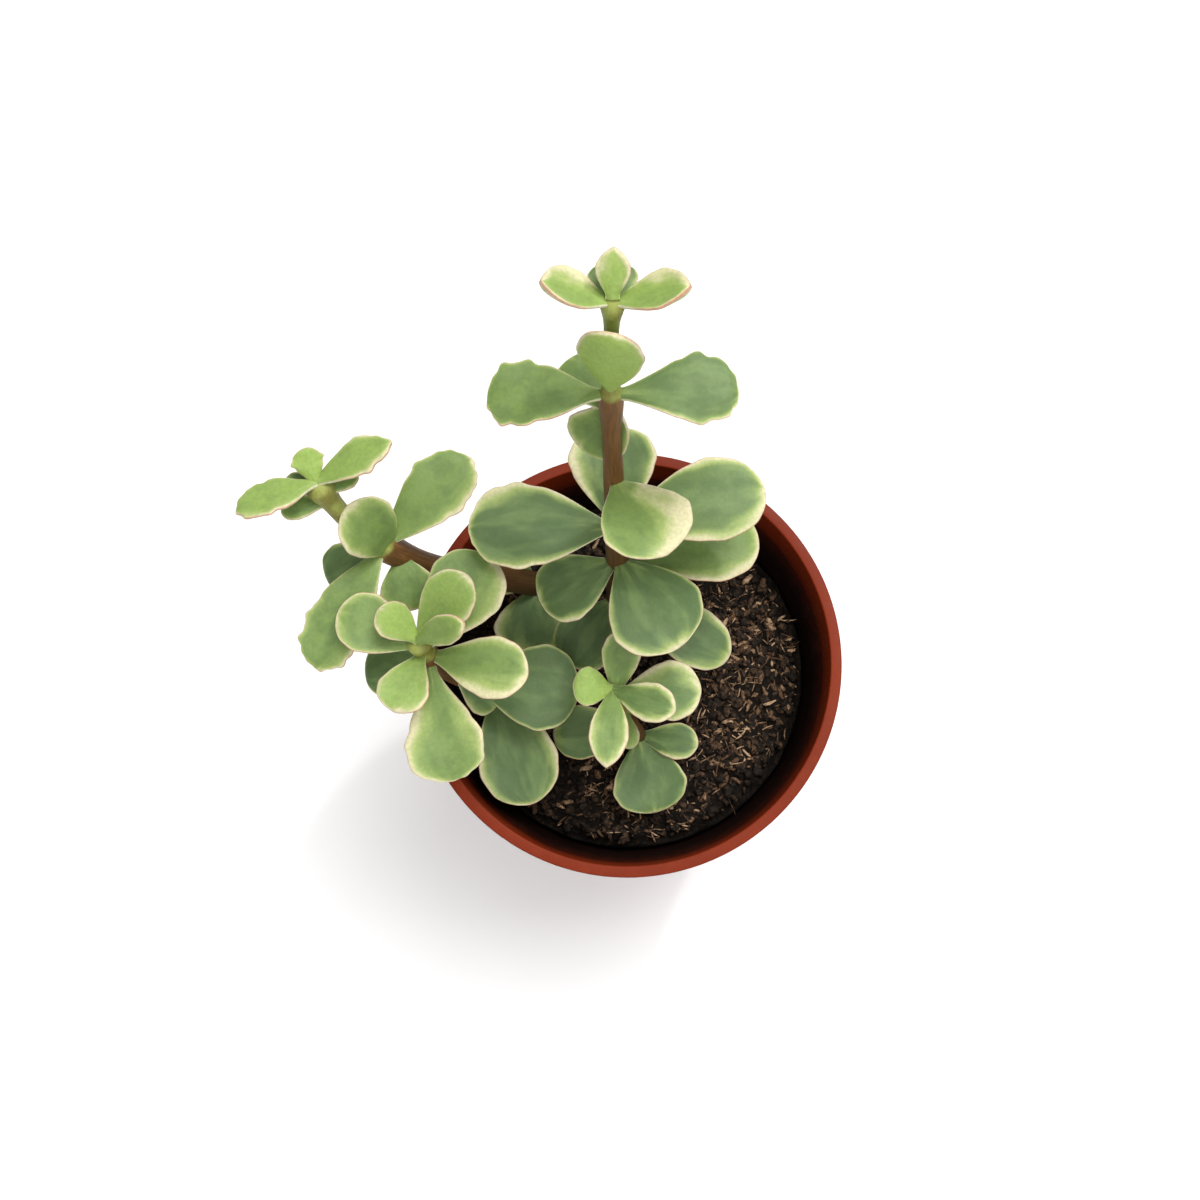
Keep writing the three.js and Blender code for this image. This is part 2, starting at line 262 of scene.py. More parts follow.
class Shader:
    """A short way to write a material's nodes: each method adds one node and returns its output."""

    def __init__(self, name: str) -> None:
        """Start a material with a plain surface shader.

        Args:
            name: The material's name.
        """
        self.material = bpy.data.materials.new(name)
        self.material.use_nodes = True
        self.tree = self.material.node_tree
        self.tree.nodes.clear()
        self.surface = self.tree.nodes.new("ShaderNodeBsdfPrincipled")
        output = self.tree.nodes.new("ShaderNodeOutputMaterial")
        self.tree.links.new(self.surface.outputs["BSDF"], output.inputs["Surface"])

    def feed(self, socket: Socket, value: Value) -> None:
        """Link an output to a socket, or set the socket to a plain value.

        Args:
            socket: The input socket.
            value: An output socket, a number or a colour.
        """
        if isinstance(value, Socket):
            self.tree.links.new(value, socket)
        else:
            socket.default_value = value

    def place(self) -> Socket:
        """Give the place on the piece, in metres."""
        return self.tree.nodes.new("ShaderNodeTexCoord").outputs["Object"]

    def measure(self, name: str) -> Socket:
        """Read one of the mesh's own measures.

        Args:
            name: The measure's name.

        Returns:
            Its value, blended between the points.
        """
        node = self.tree.nodes.new("ShaderNodeAttribute")
        node.attribute_name = name
        return node.outputs["Fac"]

    def vector(self, x: Value, y: Value, z: Value) -> Socket:
        """Join three numbers into a place for a pattern.

        Args:
            x: The first number.
            y: The second number.
            z: The third number.

        Returns:
            The place.
        """
        node = self.tree.nodes.new("ShaderNodeCombineXYZ")
        for socket, value in zip(node.inputs, (x, y, z)):
            self.feed(socket, value)
        return node.outputs["Vector"]

    def math(self, operation: str, first: Value, second: Value = 0.0) -> Socket:
        """Work out one sum, with no clamp.

        Args:
            operation: The node's own word for it, such as ADD.
            first: The first number.
            second: The second number.

        Returns:
            The result.
        """
        node = self.tree.nodes.new("ShaderNodeMath")
        node.operation = operation
        self.feed(node.inputs[0], first)
        self.feed(node.inputs[1], second)
        return node.outputs["Value"]

    def noise(self, place: Socket, scale: float, detail: float = 3.0, rough: float = 0.55) -> Socket:
        """Give soft random values, mostly from 0.3 to 0.7.

        Args:
            place: Where the pattern is read.
            scale: Patches in a unit of place.
            detail: How many finer layers are added.
            rough: How strong each finer layer is beside the one before.

        Returns:
            The values.
        """
        node = self.tree.nodes.new("ShaderNodeTexNoise")
        self.feed(node.inputs["Vector"], place)
        node.inputs["Scale"].default_value = scale
        node.inputs["Detail"].default_value = detail
        node.inputs["Roughness"].default_value = rough
        return node.outputs["Fac"]

    def cells(self, place: Socket, scale: float) -> Socket:
        """Give the distance to the nearest of many random places.

        Args:
            place: Where the pattern is read.
            scale: Random places in a unit of place.

        Returns:
            The distance.
        """
        node = self.tree.nodes.new("ShaderNodeTexVoronoi")
        self.feed(node.inputs["Vector"], place)
        node.inputs["Scale"].default_value = scale
        return node.outputs["Distance"]

    def between(self, value: Value, low: float, high: float, start: float = 0.0, end: float = 1.0) -> Socket:
        """Map low to start and high to end, with soft ends, and hold both outside them.

        Args:
            value: What is mapped.
            low: Where the rise starts.
            high: Where it ends.
            start: Result at low.
            end: Result at high.

        Returns:
            The mapped value.
        """
        node = self.tree.nodes.new("ShaderNodeMapRange")
        node.interpolation_type = "SMOOTHSTEP"
        for socket, number in zip(node.inputs, (value, low, high, start, end)):
            self.feed(socket, number)
        return node.outputs["Result"]

    def blend(self, share: Value, first: Value, second: Value) -> Socket:
        """Mix two colours.

        Args:
            share: How much of the second there is.
            first: The first colour.
            second: The second colour.

        Returns:
            The mixed colour.
        """
        node = self.tree.nodes.new("ShaderNodeMix")
        node.data_type = "RGBA"
        self.feed(node.inputs["Factor"], share)
        self.feed(node.inputs[MIX_FIRST], first)
        self.feed(node.inputs[MIX_SECOND], second)
        return node.outputs[MIX_RESULT]

    def relief(self, height: Value, depth: float) -> Socket:
        """Turn heights into small bumps.

        Args:
            height: The heights, from 0 to 1.
            depth: Their depth in metres.

        Returns:
            The bumped surface direction.
        """
        node = self.tree.nodes.new("ShaderNodeBump")
        node.inputs["Distance"].default_value = depth
        self.feed(node.inputs["Height"], height)
        return node.outputs["Normal"]

    def sheen(self, level: float) -> None:
        """Set how strongly the surface reflects, where 0.5 is a plain one."""
        self.surface.inputs["Specular IOR Level"].default_value = level

    def glow(self, weight: float, spread: tuple[float, float, float], depth: float) -> None:
        """Let light spread under the surface.

        Args:
            weight: Share of the light that does.
            spread: How far red, green and blue go, beside each other.
            depth: How far that is, in metres.
        """
        inputs = self.surface.inputs
        inputs["Subsurface Weight"].default_value = weight
        inputs["Subsurface Radius"].default_value = spread
        inputs["Subsurface Scale"].default_value = depth

    def finish(self, colour: Value, roughness: Value, normal: Optional[Socket] = None) -> Material:
        """Give the surface its colour, roughness and bumps.

        Args:
            colour: Colour or output.
            roughness: Number or output.
            normal: Output of relief, or None.

        Returns:
            The finished material.
        """
        self.feed(self.surface.inputs["Base Color"], colour)
        self.feed(self.surface.inputs["Roughness"], roughness)
        if normal is not None:
            self.feed(self.surface.inputs["Normal"], normal)
        return self.material


@dataclass(frozen=True)
class MouldedPlastic:
    """Red-brown pot plastic: even, finely grained, paler on the worn lip, and darkened inside towards the
    soil by painted shade and dirt.
    """

    body: Colour = srgb(121, 42, 16)
    deep: Colour = srgb(112, 37, 14)
    worn: Colour = srgb(131, 51, 26)
    # Colour of the painted shade and dirt inside the pot, by the soil.
    damp: Colour = srgb(22, 12, 9)
    shine: float = 0.11
    grain_depth: float = 0.00004

    def make(self) -> Material:
        """Build the material, which reads the pot's rim measure and its measure of painted shade and dirt
        inside.

        Returns:
            The material.
        """
        shader = Shader("moulded_pot_plastic")
        place = shader.place()
        cloud = shader.noise(place, 34.0, 2.0)
        grain = shader.noise(place, 2600.0, 2.0)
        scuff = shader.noise(place, 420.0, 3.0)
        colour = shader.blend(shader.between(cloud, 0.3, 0.7), self.deep, self.body)
        wear = shader.math("MULTIPLY", shader.measure("rim"), shader.between(scuff, 0.45, 0.75, 0.0, 0.4))
        colour = shader.blend(wear, colour, self.worn)
        # Painted shade and dirt: the inside darkens towards the soil.
        painted_darkening = shader.math("ADD", shader.measure("shade_and_dirt"), shader.between(scuff, 0.3, 0.7, -0.04, 0.04))
        colour = shader.blend(shader.between(painted_darkening, 0.1, 1.0), colour, self.damp)
        roughness = shader.between(scuff, 0.3, 0.7, 0.4, 0.52)
        bumps = shader.math("ADD", grain, shader.math("MULTIPLY", scuff, 0.5))
        shader.sheen(self.shine)
        return shader.finish(colour, roughness, shader.relief(bumps, self.grain_depth))


@dataclass(frozen=True)
class PeatSoil:
    """Damp dark peat: nearly black, with browner crumbs and a little dry dust."""

    damp: Colour = srgb(16, 12, 8)
    crumb: Colour = srgb(46, 34, 23)
    dry: Colour = srgb(92, 72, 52)
    shine: float = 0.15
    crumb_depth: float = 0.0005

    def make(self) -> Material:
        """Build the material from three sizes of patch.

        Returns:
            The material.
        """
        shader = Shader("peat_soil")
        place = shader.place()
        broad = shader.noise(place, 140.0, 4.0)
        fine = shader.noise(place, 900.0, 5.0, 0.7)
        colour = shader.blend(shader.between(fine, 0.46, 0.7), self.damp, self.crumb)
        patch = shader.between(broad, 0.5, 0.66)
        dry = shader.math("MULTIPLY", patch, shader.between(fine, 0.56, 0.72, 0.0, 0.5))
        colour = shader.blend(dry, colour, self.dry)
        bumps = shader.math("ADD", fine, shader.noise(place, 2600.0, 3.0))
        shader.sheen(self.shine)
        roughness = shader.between(fine, 0.3, 0.7, 0.7, 1.0)
        return shader.finish(colour, roughness, shader.relief(bumps, self.crumb_depth))


@dataclass(frozen=True)
class SoilBits:
    """Bark and fibre bits, from dark brown to tan and pinkish tan, told apart by their tone."""

    dark: Colour = srgb(25, 19, 13)
    brown: Colour = srgb(92, 68, 48)
    tan: Colour = srgb(178, 146, 114)
    shine: float = 0.2
    grain_depth: float = 0.0003

    def make(self) -> Material:
        """Build the material, which reads the bits' measure tone.

        Returns:
            The material.
        """
        shader = Shader("bark_bits")
        place = shader.place()
        grain = shader.noise(place, 1500.0, 4.0)
        tone = shader.math("ADD", shader.measure("tone"), shader.between(grain, 0.3, 0.7, -0.18, 0.18))
        colour = shader.blend(shader.between(tone, 0.05, 0.5), self.dark, self.brown)
        colour = shader.blend(shader.between(tone, 0.5, 0.95), colour, self.tan)
        shader.sheen(self.shine)
        roughness = shader.between(grain, 0.3, 0.7, 0.65, 0.95)
        return shader.finish(colour, roughness, shader.relief(grain, self.grain_depth))


@dataclass(frozen=True)
class WhiteGrit:
    """White volcanic grit: chalky and pitted, with painted shade in the pits."""

    white: Colour = srgb(238, 234, 226)
    pit_shade: Colour = srgb(176, 168, 156)
    pit_depth: float = 0.0002

    def make(self) -> Material:
        """Build the material with small pits.

        Returns:
            The material.
        """
        shader = Shader("white_grit")
        pits = shader.cells(shader.place(), 1800.0)
        # Painted shade: the pits are coloured grey.
        colour = shader.blend(shader.between(pits, 0.1, 0.45), self.pit_shade, self.white)
        roughness = shader.between(pits, 0.0, 0.6, 0.9, 0.7)
        return shader.finish(colour, roughness, shader.relief(pits, self.pit_depth))


@dataclass(frozen=True)
class LeafSkin:
    """Waxy leaf skin: soft green blotches, a margin that pales to cream, a thin rim whitened partly by its
    own pale colour and partly by a painted highlight, a few specks.
    """

    old_green: Colour = srgb(86, 109, 61)
    young_green: Colour = srgb(146, 172, 82)
    deep_green: Colour = srgb(72, 97, 54)
    light_green: Colour = srgb(118, 142, 84)
    fresh: Colour = srgb(156, 172, 98)
    cream: Colour = srgb(208, 200, 160)
    # White of the leaf rim: partly its own pale colour, partly a painted highlight.
    white: Colour = srgb(236, 230, 212)
    pink: Colour = srgb(188, 124, 96)
    speck: Colour = srgb(86, 50, 32)
    shine: float = 0.4
    glow: float = 0.12
    glow_spread: tuple[float, float, float] = (0.9, 1.0, 0.35)
    glow_depth: float = 0.0012
    bump_depth: float = 0.00018

    def make(self) -> Material:
        """Build the material, which reads age, pale, edge, blush, along, across and seed.

        Returns:
            The material.
        """
        shader = Shader("waxy_leaf_skin")
        place = shader.place()
        seed = shader.math("MULTIPLY", shader.measure("seed"), 41.0)
        lengthwise = shader.vector(
            shader.math("MULTIPLY", shader.measure("along"), 2.4),
            shader.math("MULTIPLY", shader.measure("across"), 2.0),
            seed,
        )
        blotch = shader.noise(lengthwise, 1.0, 2.5, 0.5)
        mottle = shader.noise(place, 240.0, 3.0, 0.6)
        age = shader.measure("age")
        green = shader.blend(age, self.young_green, self.old_green)
        inner = shader.between(shader.measure("pale"), 0.0, 0.12, 0.45, 0.0)
        dark = shader.math("MULTIPLY", inner, shader.between(mottle, 0.4, 0.62))
        dark = shader.math("MULTIPLY", dark, shader.between(age, 0.0, 0.8, 0.25, 1.0))
        green = shader.blend(dark, green, self.deep_green)
        light = shader.math("MULTIPLY", shader.between(blotch, 0.42, 0.66, 0.0, 0.5), age)
        green = shader.blend(light, green, self.light_green)
        pale = shader.math("ADD", shader.measure("pale"), shader.between(blotch, 0.3, 0.7, -0.12, 0.16))
        pale = shader.math("ADD", pale, shader.between(mottle, 0.3, 0.7, -0.06, 0.06))
        colour = shader.blend(shader.between(pale, 0.08, 0.7), green, self.fresh)
        colour = shader.blend(shader.between(pale, 0.5, 1.0), colour, self.cream)
        rim = shader.between(shader.measure("edge"), 0.6, 0.98)
        # The rim whitens here: partly its own pale colour, partly a painted highlight.
        pale_rim_and_highlight = shader.math("MULTIPLY", rim, shader.between(mottle, 0.35, 0.65, 0.1, 0.6))
        colour = shader.blend(pale_rim_and_highlight, colour, self.white)
        colour = shader.blend(shader.math("MULTIPLY", rim, shader.measure("blush")), colour, self.pink)
        spots = shader.between(shader.cells(place, 190.0), 0.06, 0.035)
        rare = shader.between(shader.noise(place, 75.0, 1.0), 0.6, 0.66)
        spots = shader.math("MULTIPLY", spots, shader.math("MULTIPLY", rare, age))
        colour = shader.blend(spots, colour, self.speck)
        skin = shader.noise(place, 1500.0, 3.0)
        grain = shader.between(skin, 0.35, 0.65, 0.0, 0.16)
        colour = shader.blend(grain, colour, self.deep_green)
        polish = shader.math("MULTIPLY", rim, 0.38)
        roughness = shader.math("SUBTRACT", shader.between(mottle, 0.3, 0.7, 0.5, 0.6), polish)
        bumps = shader.math("ADD", blotch, shader.math("MULTIPLY", skin, 0.35))
        shader.glow(self.glow, self.glow_spread, self.glow_depth)
        shader.sheen(self.shine)
        return shader.finish(colour, roughness, shader.relief(bumps, self.bump_depth))


@dataclass(frozen=True)
class StemBark:
    """Stem skin: brown bark with faint lengthwise lines, olive above the nodes and at the tip."""

    bark: Colour = srgb(114, 77, 36)
    crack: Colour = srgb(93, 62, 29)
    old: Colour = srgb(62, 47, 29)
    olive: Colour = srgb(122, 118, 54)
    fresh: Colour = srgb(146, 154, 78)
    shine: float = 0.3
    glow: float = 0.06
    glow_spread: tuple[float, float, float] = (0.8, 0.7, 0.3)
    glow_depth: float = 0.001
    line_depth: float = 0.0002

    def make(self) -> Material:
        """Build the material, which reads green, old, along, round and turned.

        Returns:
            The material.
        """
        shader = Shader("stem_bark")
        place = shader.place()
        fibres = shader.vector(
            shader.math("MULTIPLY", shader.measure("along"), 3.0),
            shader.math("MULTIPLY", shader.measure("round"), 3.0),
            shader.measure("turned"),
        )
        lines = shader.noise(fibres, 1.6, 3.0, 0.5)
        mottle = shader.noise(place, 260.0, 3.0)
        bark = shader.blend(shader.between(lines, 0.36, 0.64), self.crack, self.bark)
        bark = shader.blend(shader.measure("old"), bark, self.old)
        young = shader.blend(shader.between(mottle, 0.35, 0.65), self.olive, self.fresh)
        green = shader.math("ADD", shader.measure("green"), shader.between(mottle, 0.3, 0.7, -0.1, 0.1))
        colour = shader.blend(shader.between(green, 0.2, 0.8), bark, young)
        shader.glow(self.glow, self.glow_spread, self.glow_depth)
        shader.sheen(self.shine)
        roughness = shader.between(lines, 0.3, 0.7, 0.42, 0.6)
        return shader.finish(colour, roughness, shader.relief(lines, self.line_depth))


@dataclass(frozen=True)
class StudioFloor:
    """Plain pale studio floor."""

    pale: Colour = srgb(252, 252, 252)
    shade: Colour = srgb(248, 248, 248)
    roughness: float = 0.9

    def make(self) -> Material:
        """Build the material with a barely seen cloudiness.

        Returns:
            The material.
        """
        shader = Shader("studio_floor")
        cloud = shader.noise(shader.place(), 3.0, 2.0)
        return shader.finish(shader.blend(cloud, self.shade, self.pale), self.roughness)


@dataclass(frozen=True)
class Pot:
    """The moulded nursery pot: foot ring, channel with drain holes, tapered wall, collar and lip."""

    height: float = 74.0
    rim_radius: float = 42.5
    lip_width: float = 2.2
    lip_height: float = 2.4
    collar_depth: float = 12.5
    collar_taper: float = 0.7
    ledge_height: float = 5.0
    wall: float = 1.1
    body_top_radius: float = 39.3
    foot_radius: float = 29.5
    foot_width: float = 5.5
    floor_thickness: float = 1.3
    channel_height: float = 2.2
    pad_radius: float = 9.0
    edge: float = 0.5
    drains: int = 8
    drain_radius: float = 2.6
    spokes: tuple[float, ...] = (1.0, 0.6, 0.25, 0.0)
    sides: int = 192
    rounding: float = 0.35
    arc_points: int = 5
    # Painted shade down the collar, and painted shade and dirt from the ledge down to the soil.
    worn_depth: float = 1.2
    shade_start: float = 1.0
    shade_share: float = 0.35
    ledge_dirt_and_shade_share: float = 0.6
    ledge_dirt_and_shade_edges: Span = (1.0, -1.2)
    weld: float = 0.001

    @property
    def step(self) -> float:
        """Height of the step under the collar."""
        return self.height - self.collar_depth

    @property
    def floor(self) -> float:
        """Height of the floor's upper face."""
        return self.channel_height + self.floor_thickness

    def inner_radius(self, height: float) -> float:
        """Radius of the wall's inner face at a height: a straight taper less the wall."""
        share = height / self.step
        return self.foot_radius + (self.body_top_radius - self.foot_radius) * share - self.wall

    def rounded(self, corners: Array) -> Array:
        """Round each inner corner of a profile.

        A corner gives way to a quadratic curve that leaves the side before it and joins the side
        after it at the same small distance, or at a third of the shorter side.

        Args:
            corners: Radius and height of each corner.

        Returns:
            Radius and height of each point of the rounded profile.
        """
        before, here, after = corners[:-2], corners[1:-1], corners[2:]
        lengths = np.stack([np.linalg.norm(here - before, axis=1), np.linalg.norm(after - here, axis=1)])
        reach = np.minimum(self.rounding, lengths.min(axis=0) / 3.0)[:, None]
        start = here + (before - here) / lengths[0][:, None] * reach
        end = here + (after - here) / lengths[1][:, None] * reach
        t = np.linspace(0.0, 1.0, self.arc_points)[:, None]
        curve = start[:, None] * (1 - t) ** 2 + 2 * here[:, None] * t * (1 - t) + end[:, None] * t**2
        return np.concatenate([corners[:1], curve.reshape(-1, 2), corners[-1:]])

    def turned(self, profile: Array) -> Array:
        """Turn a profile about +Z: each point goes round a circle of its radius at its height.

        Args:
            profile: Radius and height of each point.

        Returns:
            Rings of places.
        """
        angle = round_angles(self.sides)
        radius, height = profile[:, :1], profile[:, 1:]
        return np.stack([radius * np.cos(angle), radius * np.sin(angle), height + 0 * angle], axis=-1)

    def shell(self) -> Surface:
        """Turn the wall, from the channel round the foot, up, over the lip and down to the floor.

        Returns:
            The wall.
        """
        inner_lip = self.rim_radius - self.lip_width
        collar = self.rim_radius - self.edge
        channel = self.foot_radius - self.foot_width
        corners = np.array([
            [channel - self.edge, self.channel_height],
            [channel, 0.0],
            [self.foot_radius - self.edge, 0.0],
            [self.foot_radius, self.edge],
            [self.body_top_radius, self.step],
            [collar - self.collar_taper, self.step + self.edge],
            [collar, self.height - self.lip_height],
            [self.rim_radius, self.height - self.lip_height + self.edge],
            [self.rim_radius, self.height],
            [inner_lip, self.height],
            [inner_lip - self.collar_taper, self.step + self.ledge_height],
            [self.inner_radius(self.step), self.step],
            [self.inner_radius(self.floor), self.floor],
            [channel - self.edge, self.floor],
        ])
        rings = self.turned(self.rounded(corners))
        rows = rings.shape[0]
        return Surface(rings.reshape(-1, 3), [tube_faces(rows, self.sides)])

    def pad(self) -> Surface:
        """Turn the middle of the floor: a flat pad below, and the floor's middle above.

        Returns:
            The two, each closed at the axis.
        """
        middle, radius, skirt = self.pad_radius * 0.5, self.pad_radius, self.pad_radius + self.edge
        below = self.turned(np.array([[middle, 0.0], [radius, 0.0], [skirt, self.channel_height]]))
        above = self.turned(np.array([[skirt, self.floor], [middle, self.floor]]))
        under = Surface(
            np.concatenate([below.reshape(-1, 3), np.zeros((1, 3))]),
            [tube_faces(3, self.sides), cap_faces(0, 3 * self.sides, self.sides, True)],
        )
        top = Surface(
            np.concatenate([above.reshape(-1, 3), [[0.0, 0.0, self.floor]]]),
            [tube_faces(2, self.sides), cap_faces(self.sides, 2 * self.sides, self.sides, False)],
        )
        return Surface.joined([under, top])

    def drain_ring(self) -> Surface:
        """Make the floor between pad and foot, in one sector for each drain hole.

        A sector is a square bent round the axis. Lines run from points spread evenly along its
        sides straight to the hole's circle, over the floor's upper face, down the hole's wall and
        back along the lower face.

        Returns:
            All the sectors.
        """
        inner = self.pad_radius + self.edge
        outer = self.foot_radius - self.foot_width - self.edge
        arc = self.sides // self.drains
        side = arc // 2
        sweep = np.linspace(-1.0, 1.0, arc, endpoint=False)
        climb = np.linspace(-1.0, 1.0, side, endpoint=False)
        turn = np.concatenate([sweep, np.ones(side), -sweep, -np.ones(side)]) * np.pi / self.drains
        reach = np.concatenate([-np.ones(arc), climb, np.ones(arc), -climb])
        radius = (inner + outer) / 2 + reach * (outer - inner) / 2
        # The square runs along its inner side first, which is clockwise seen from its middle,
        # so it is reversed to run anticlockwise.
        turn, radius = turn[::-1], radius[::-1]
        border = np.stack([radius * np.cos(turn), radius * np.sin(turn)], axis=-1)
        middle = np.array([(inner + outer) / 2, 0.0])
        ray = border - middle
        hole = middle + ray / np.linalg.norm(ray, axis=1, keepdims=True) * self.drain_radius
        share = np.array(self.spokes)[:, None, None]
        flat = hole + (border - hole) * share
        top = np.concatenate([flat, np.full((*flat.shape[:2], 1), self.floor)], axis=-1)
        bottom = np.concatenate([flat[::-1], np.full((*flat.shape[:2], 1), self.channel_height)], axis=-1)
        sector = np.concatenate([top, bottom])
        rows, columns = sector.shape[:2]
        angle = round_angles(self.drains)
        cosine, sine = np.cos(angle)[:, None, None], np.sin(angle)[:, None, None]
        x, y, z = sector[None, ..., 0], sector[None, ..., 1], sector[None, ..., 2]
        everywhere = np.stack([x * cosine - y * sine, x * sine + y * cosine, z + 0 * cosine], axis=-1)
        faces = [tube_faces(rows, columns, n * rows * columns) for n in range(self.drains)]
        return Surface(everywhere.reshape(-1, 3), faces)

    def build(self) -> Piece:
        """Make the pot's piece, with measures of how near the rim each point is and of the painted shade and
        dirt there.

        rim rises over the lip's top. The painted shade and dirt is 0 outside. Inside it is the sum of
        painted shade that grows down the collar's wall to the ledge, and of painted shade and dirt that sets
        in there, where the wall drops into shadow by the soil.

        Returns:
            The piece.
        """
        whole = Surface.joined([self.shell(), self.pad(), self.drain_ring()])
        radius, height = np.hypot(whole.points[:, 0], whole.points[:, 1]), whole.points[:, 2]
        wall_middle = self.inner_radius(height) + self.wall / 2
        lip_inner = self.rim_radius - self.lip_width + self.wall / 10
        limit = np.where(height > self.step + 1.2 * self.edge, lip_inner, wall_middle)
        inside = smoothstep(limit - radius, 0.0, self.wall / 4) * (height > self.floor - self.edge)
        whole.measures["rim"] = smoothstep(height, self.height - self.worn_depth, self.height)
        ledge = self.step + self.ledge_height
        # Painted shade grows down the collar's wall, and painted shade and dirt set in at the ledge.
        painted_darkening = smoothstep(height, self.height - self.shade_start, ledge)
        ledge_dirt_and_shade = smoothstep(height, *(ledge + edge for edge in self.ledge_dirt_and_shade_edges))
        whole.measures["shade_and_dirt"] = inside * (self.shade_share * painted_darkening + self.ledge_dirt_and_shade_share * ledge_dirt_and_shade)
        piece = whole.to_object("pot_moulding", MouldedPlastic().make(), weld=self.weld)
        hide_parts("pot")
        return piece


@dataclass(frozen=True)
class Soil:
    """The peat plug that fills the pot, and what lies on its top."""

    top: float = 58.0
    gap: float = 0.3
    edge_gap: float = 1.4
    edge_drop: float = 1.6
    lump: float = 0.45
    broad_lump: float = 22.0
    fine_lump: float = 17.0
    fine_share: float = 0.6
    crumbs: tuple[Span, ...] = ((4.2, 0.55), (1.9, 0.5), (0.95, 0.28), (0.5, 0.14))
    first_ring: float = 0.4
    last_ring: float = 0.3
    fall_width: float = 3.0
    ragged: float = 0.012
    ragged_radius: float = 12.0
    ragged_cell: float = 1.3
    rings: int = 120
    sides: int = 320
    seed: int = 11

    def height(self, x: Array, y: Array) -> Array:
        """Height of the soil's top at a place.

        Broad crossed waves and finer slanted ones, as in the solid, with crumbs of four sizes on
        them, each random heights on a lattice.

        Args:
            x: Places along X.
            y: Places along Y.

        Returns:
            Heights above the surface that the pot stands on.
        """
        broad = np.sin(TURN * x / self.broad_lump) * np.cos(TURN * y / self.broad_lump)
        fine = np.sin(TURN * (x - y) / self.fine_lump) + np.cos(TURN * (x + 2 * y) / self.fine_lump)
        crumbs = sum(
            depth * value_noise(x, y, cell, self.seed + number)
            for number, (cell, depth) in enumerate(self.crumbs)
        )
        return self.top + self.lump * (broad + self.fine_share * fine) + crumbs

    def plug(self, pot: Pot) -> Piece:
        """Make the soil's piece: flat below, tapered with the pot, crumbly on top.

        Its profile runs up the side and then in over the top, and its top rings are pushed in and
        out by a small share, as a random edge.

        Args:
            pot: The pot that holds it.

        Returns:
            The piece.
        """
        floor = pot.floor + self.gap
        shoulder = self.top - 2 * self.edge_drop
        edge = pot.inner_radius(self.top) - self.edge_gap
        side = np.array([
            [pot.inner_radius(floor) - 2 * self.gap, floor],
            [pot.inner_radius(shoulder) - 2 * self.gap, shoulder],
            [edge, self.top - self.edge_drop],
        ])
        across = np.linspace(edge - self.first_ring, self.last_ring, self.rings)
        angle = round_angles(self.sides)
        radius = np.concatenate([side[:, 0], across])[:, None] + 0 * angle
        x, y = radius * np.cos(angle), radius * np.sin(angle)
        fall = self.edge_drop * smoothstep(across, edge - self.fall_width, edge)[:, None]
        rows = len(side)
        height = np.concatenate([side[:, 1:] + 0 * angle, self.height(x[rows:], y[rows:]) - fall])
        round_x, round_y = self.ragged_radius * np.cos(angle), self.ragged_radius * np.sin(angle)
        ragged = 1.0 + self.ragged * value_noise(round_x, round_y, self.ragged_cell, self.seed)
        x[rows - 1:], y[rows - 1:] = x[rows - 1:] * ragged, y[rows - 1:] * ragged
        rings = np.stack([x, y, height], axis=-1)
        start = np.array([0.0, 0.0, floor])
        end = np.array([0.0, 0.0, height[-1].mean()])
        piece = Surface.tube(rings, start, end).to_object("soil_plug", PeatSoil().make())
        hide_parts("soil")
        return piece


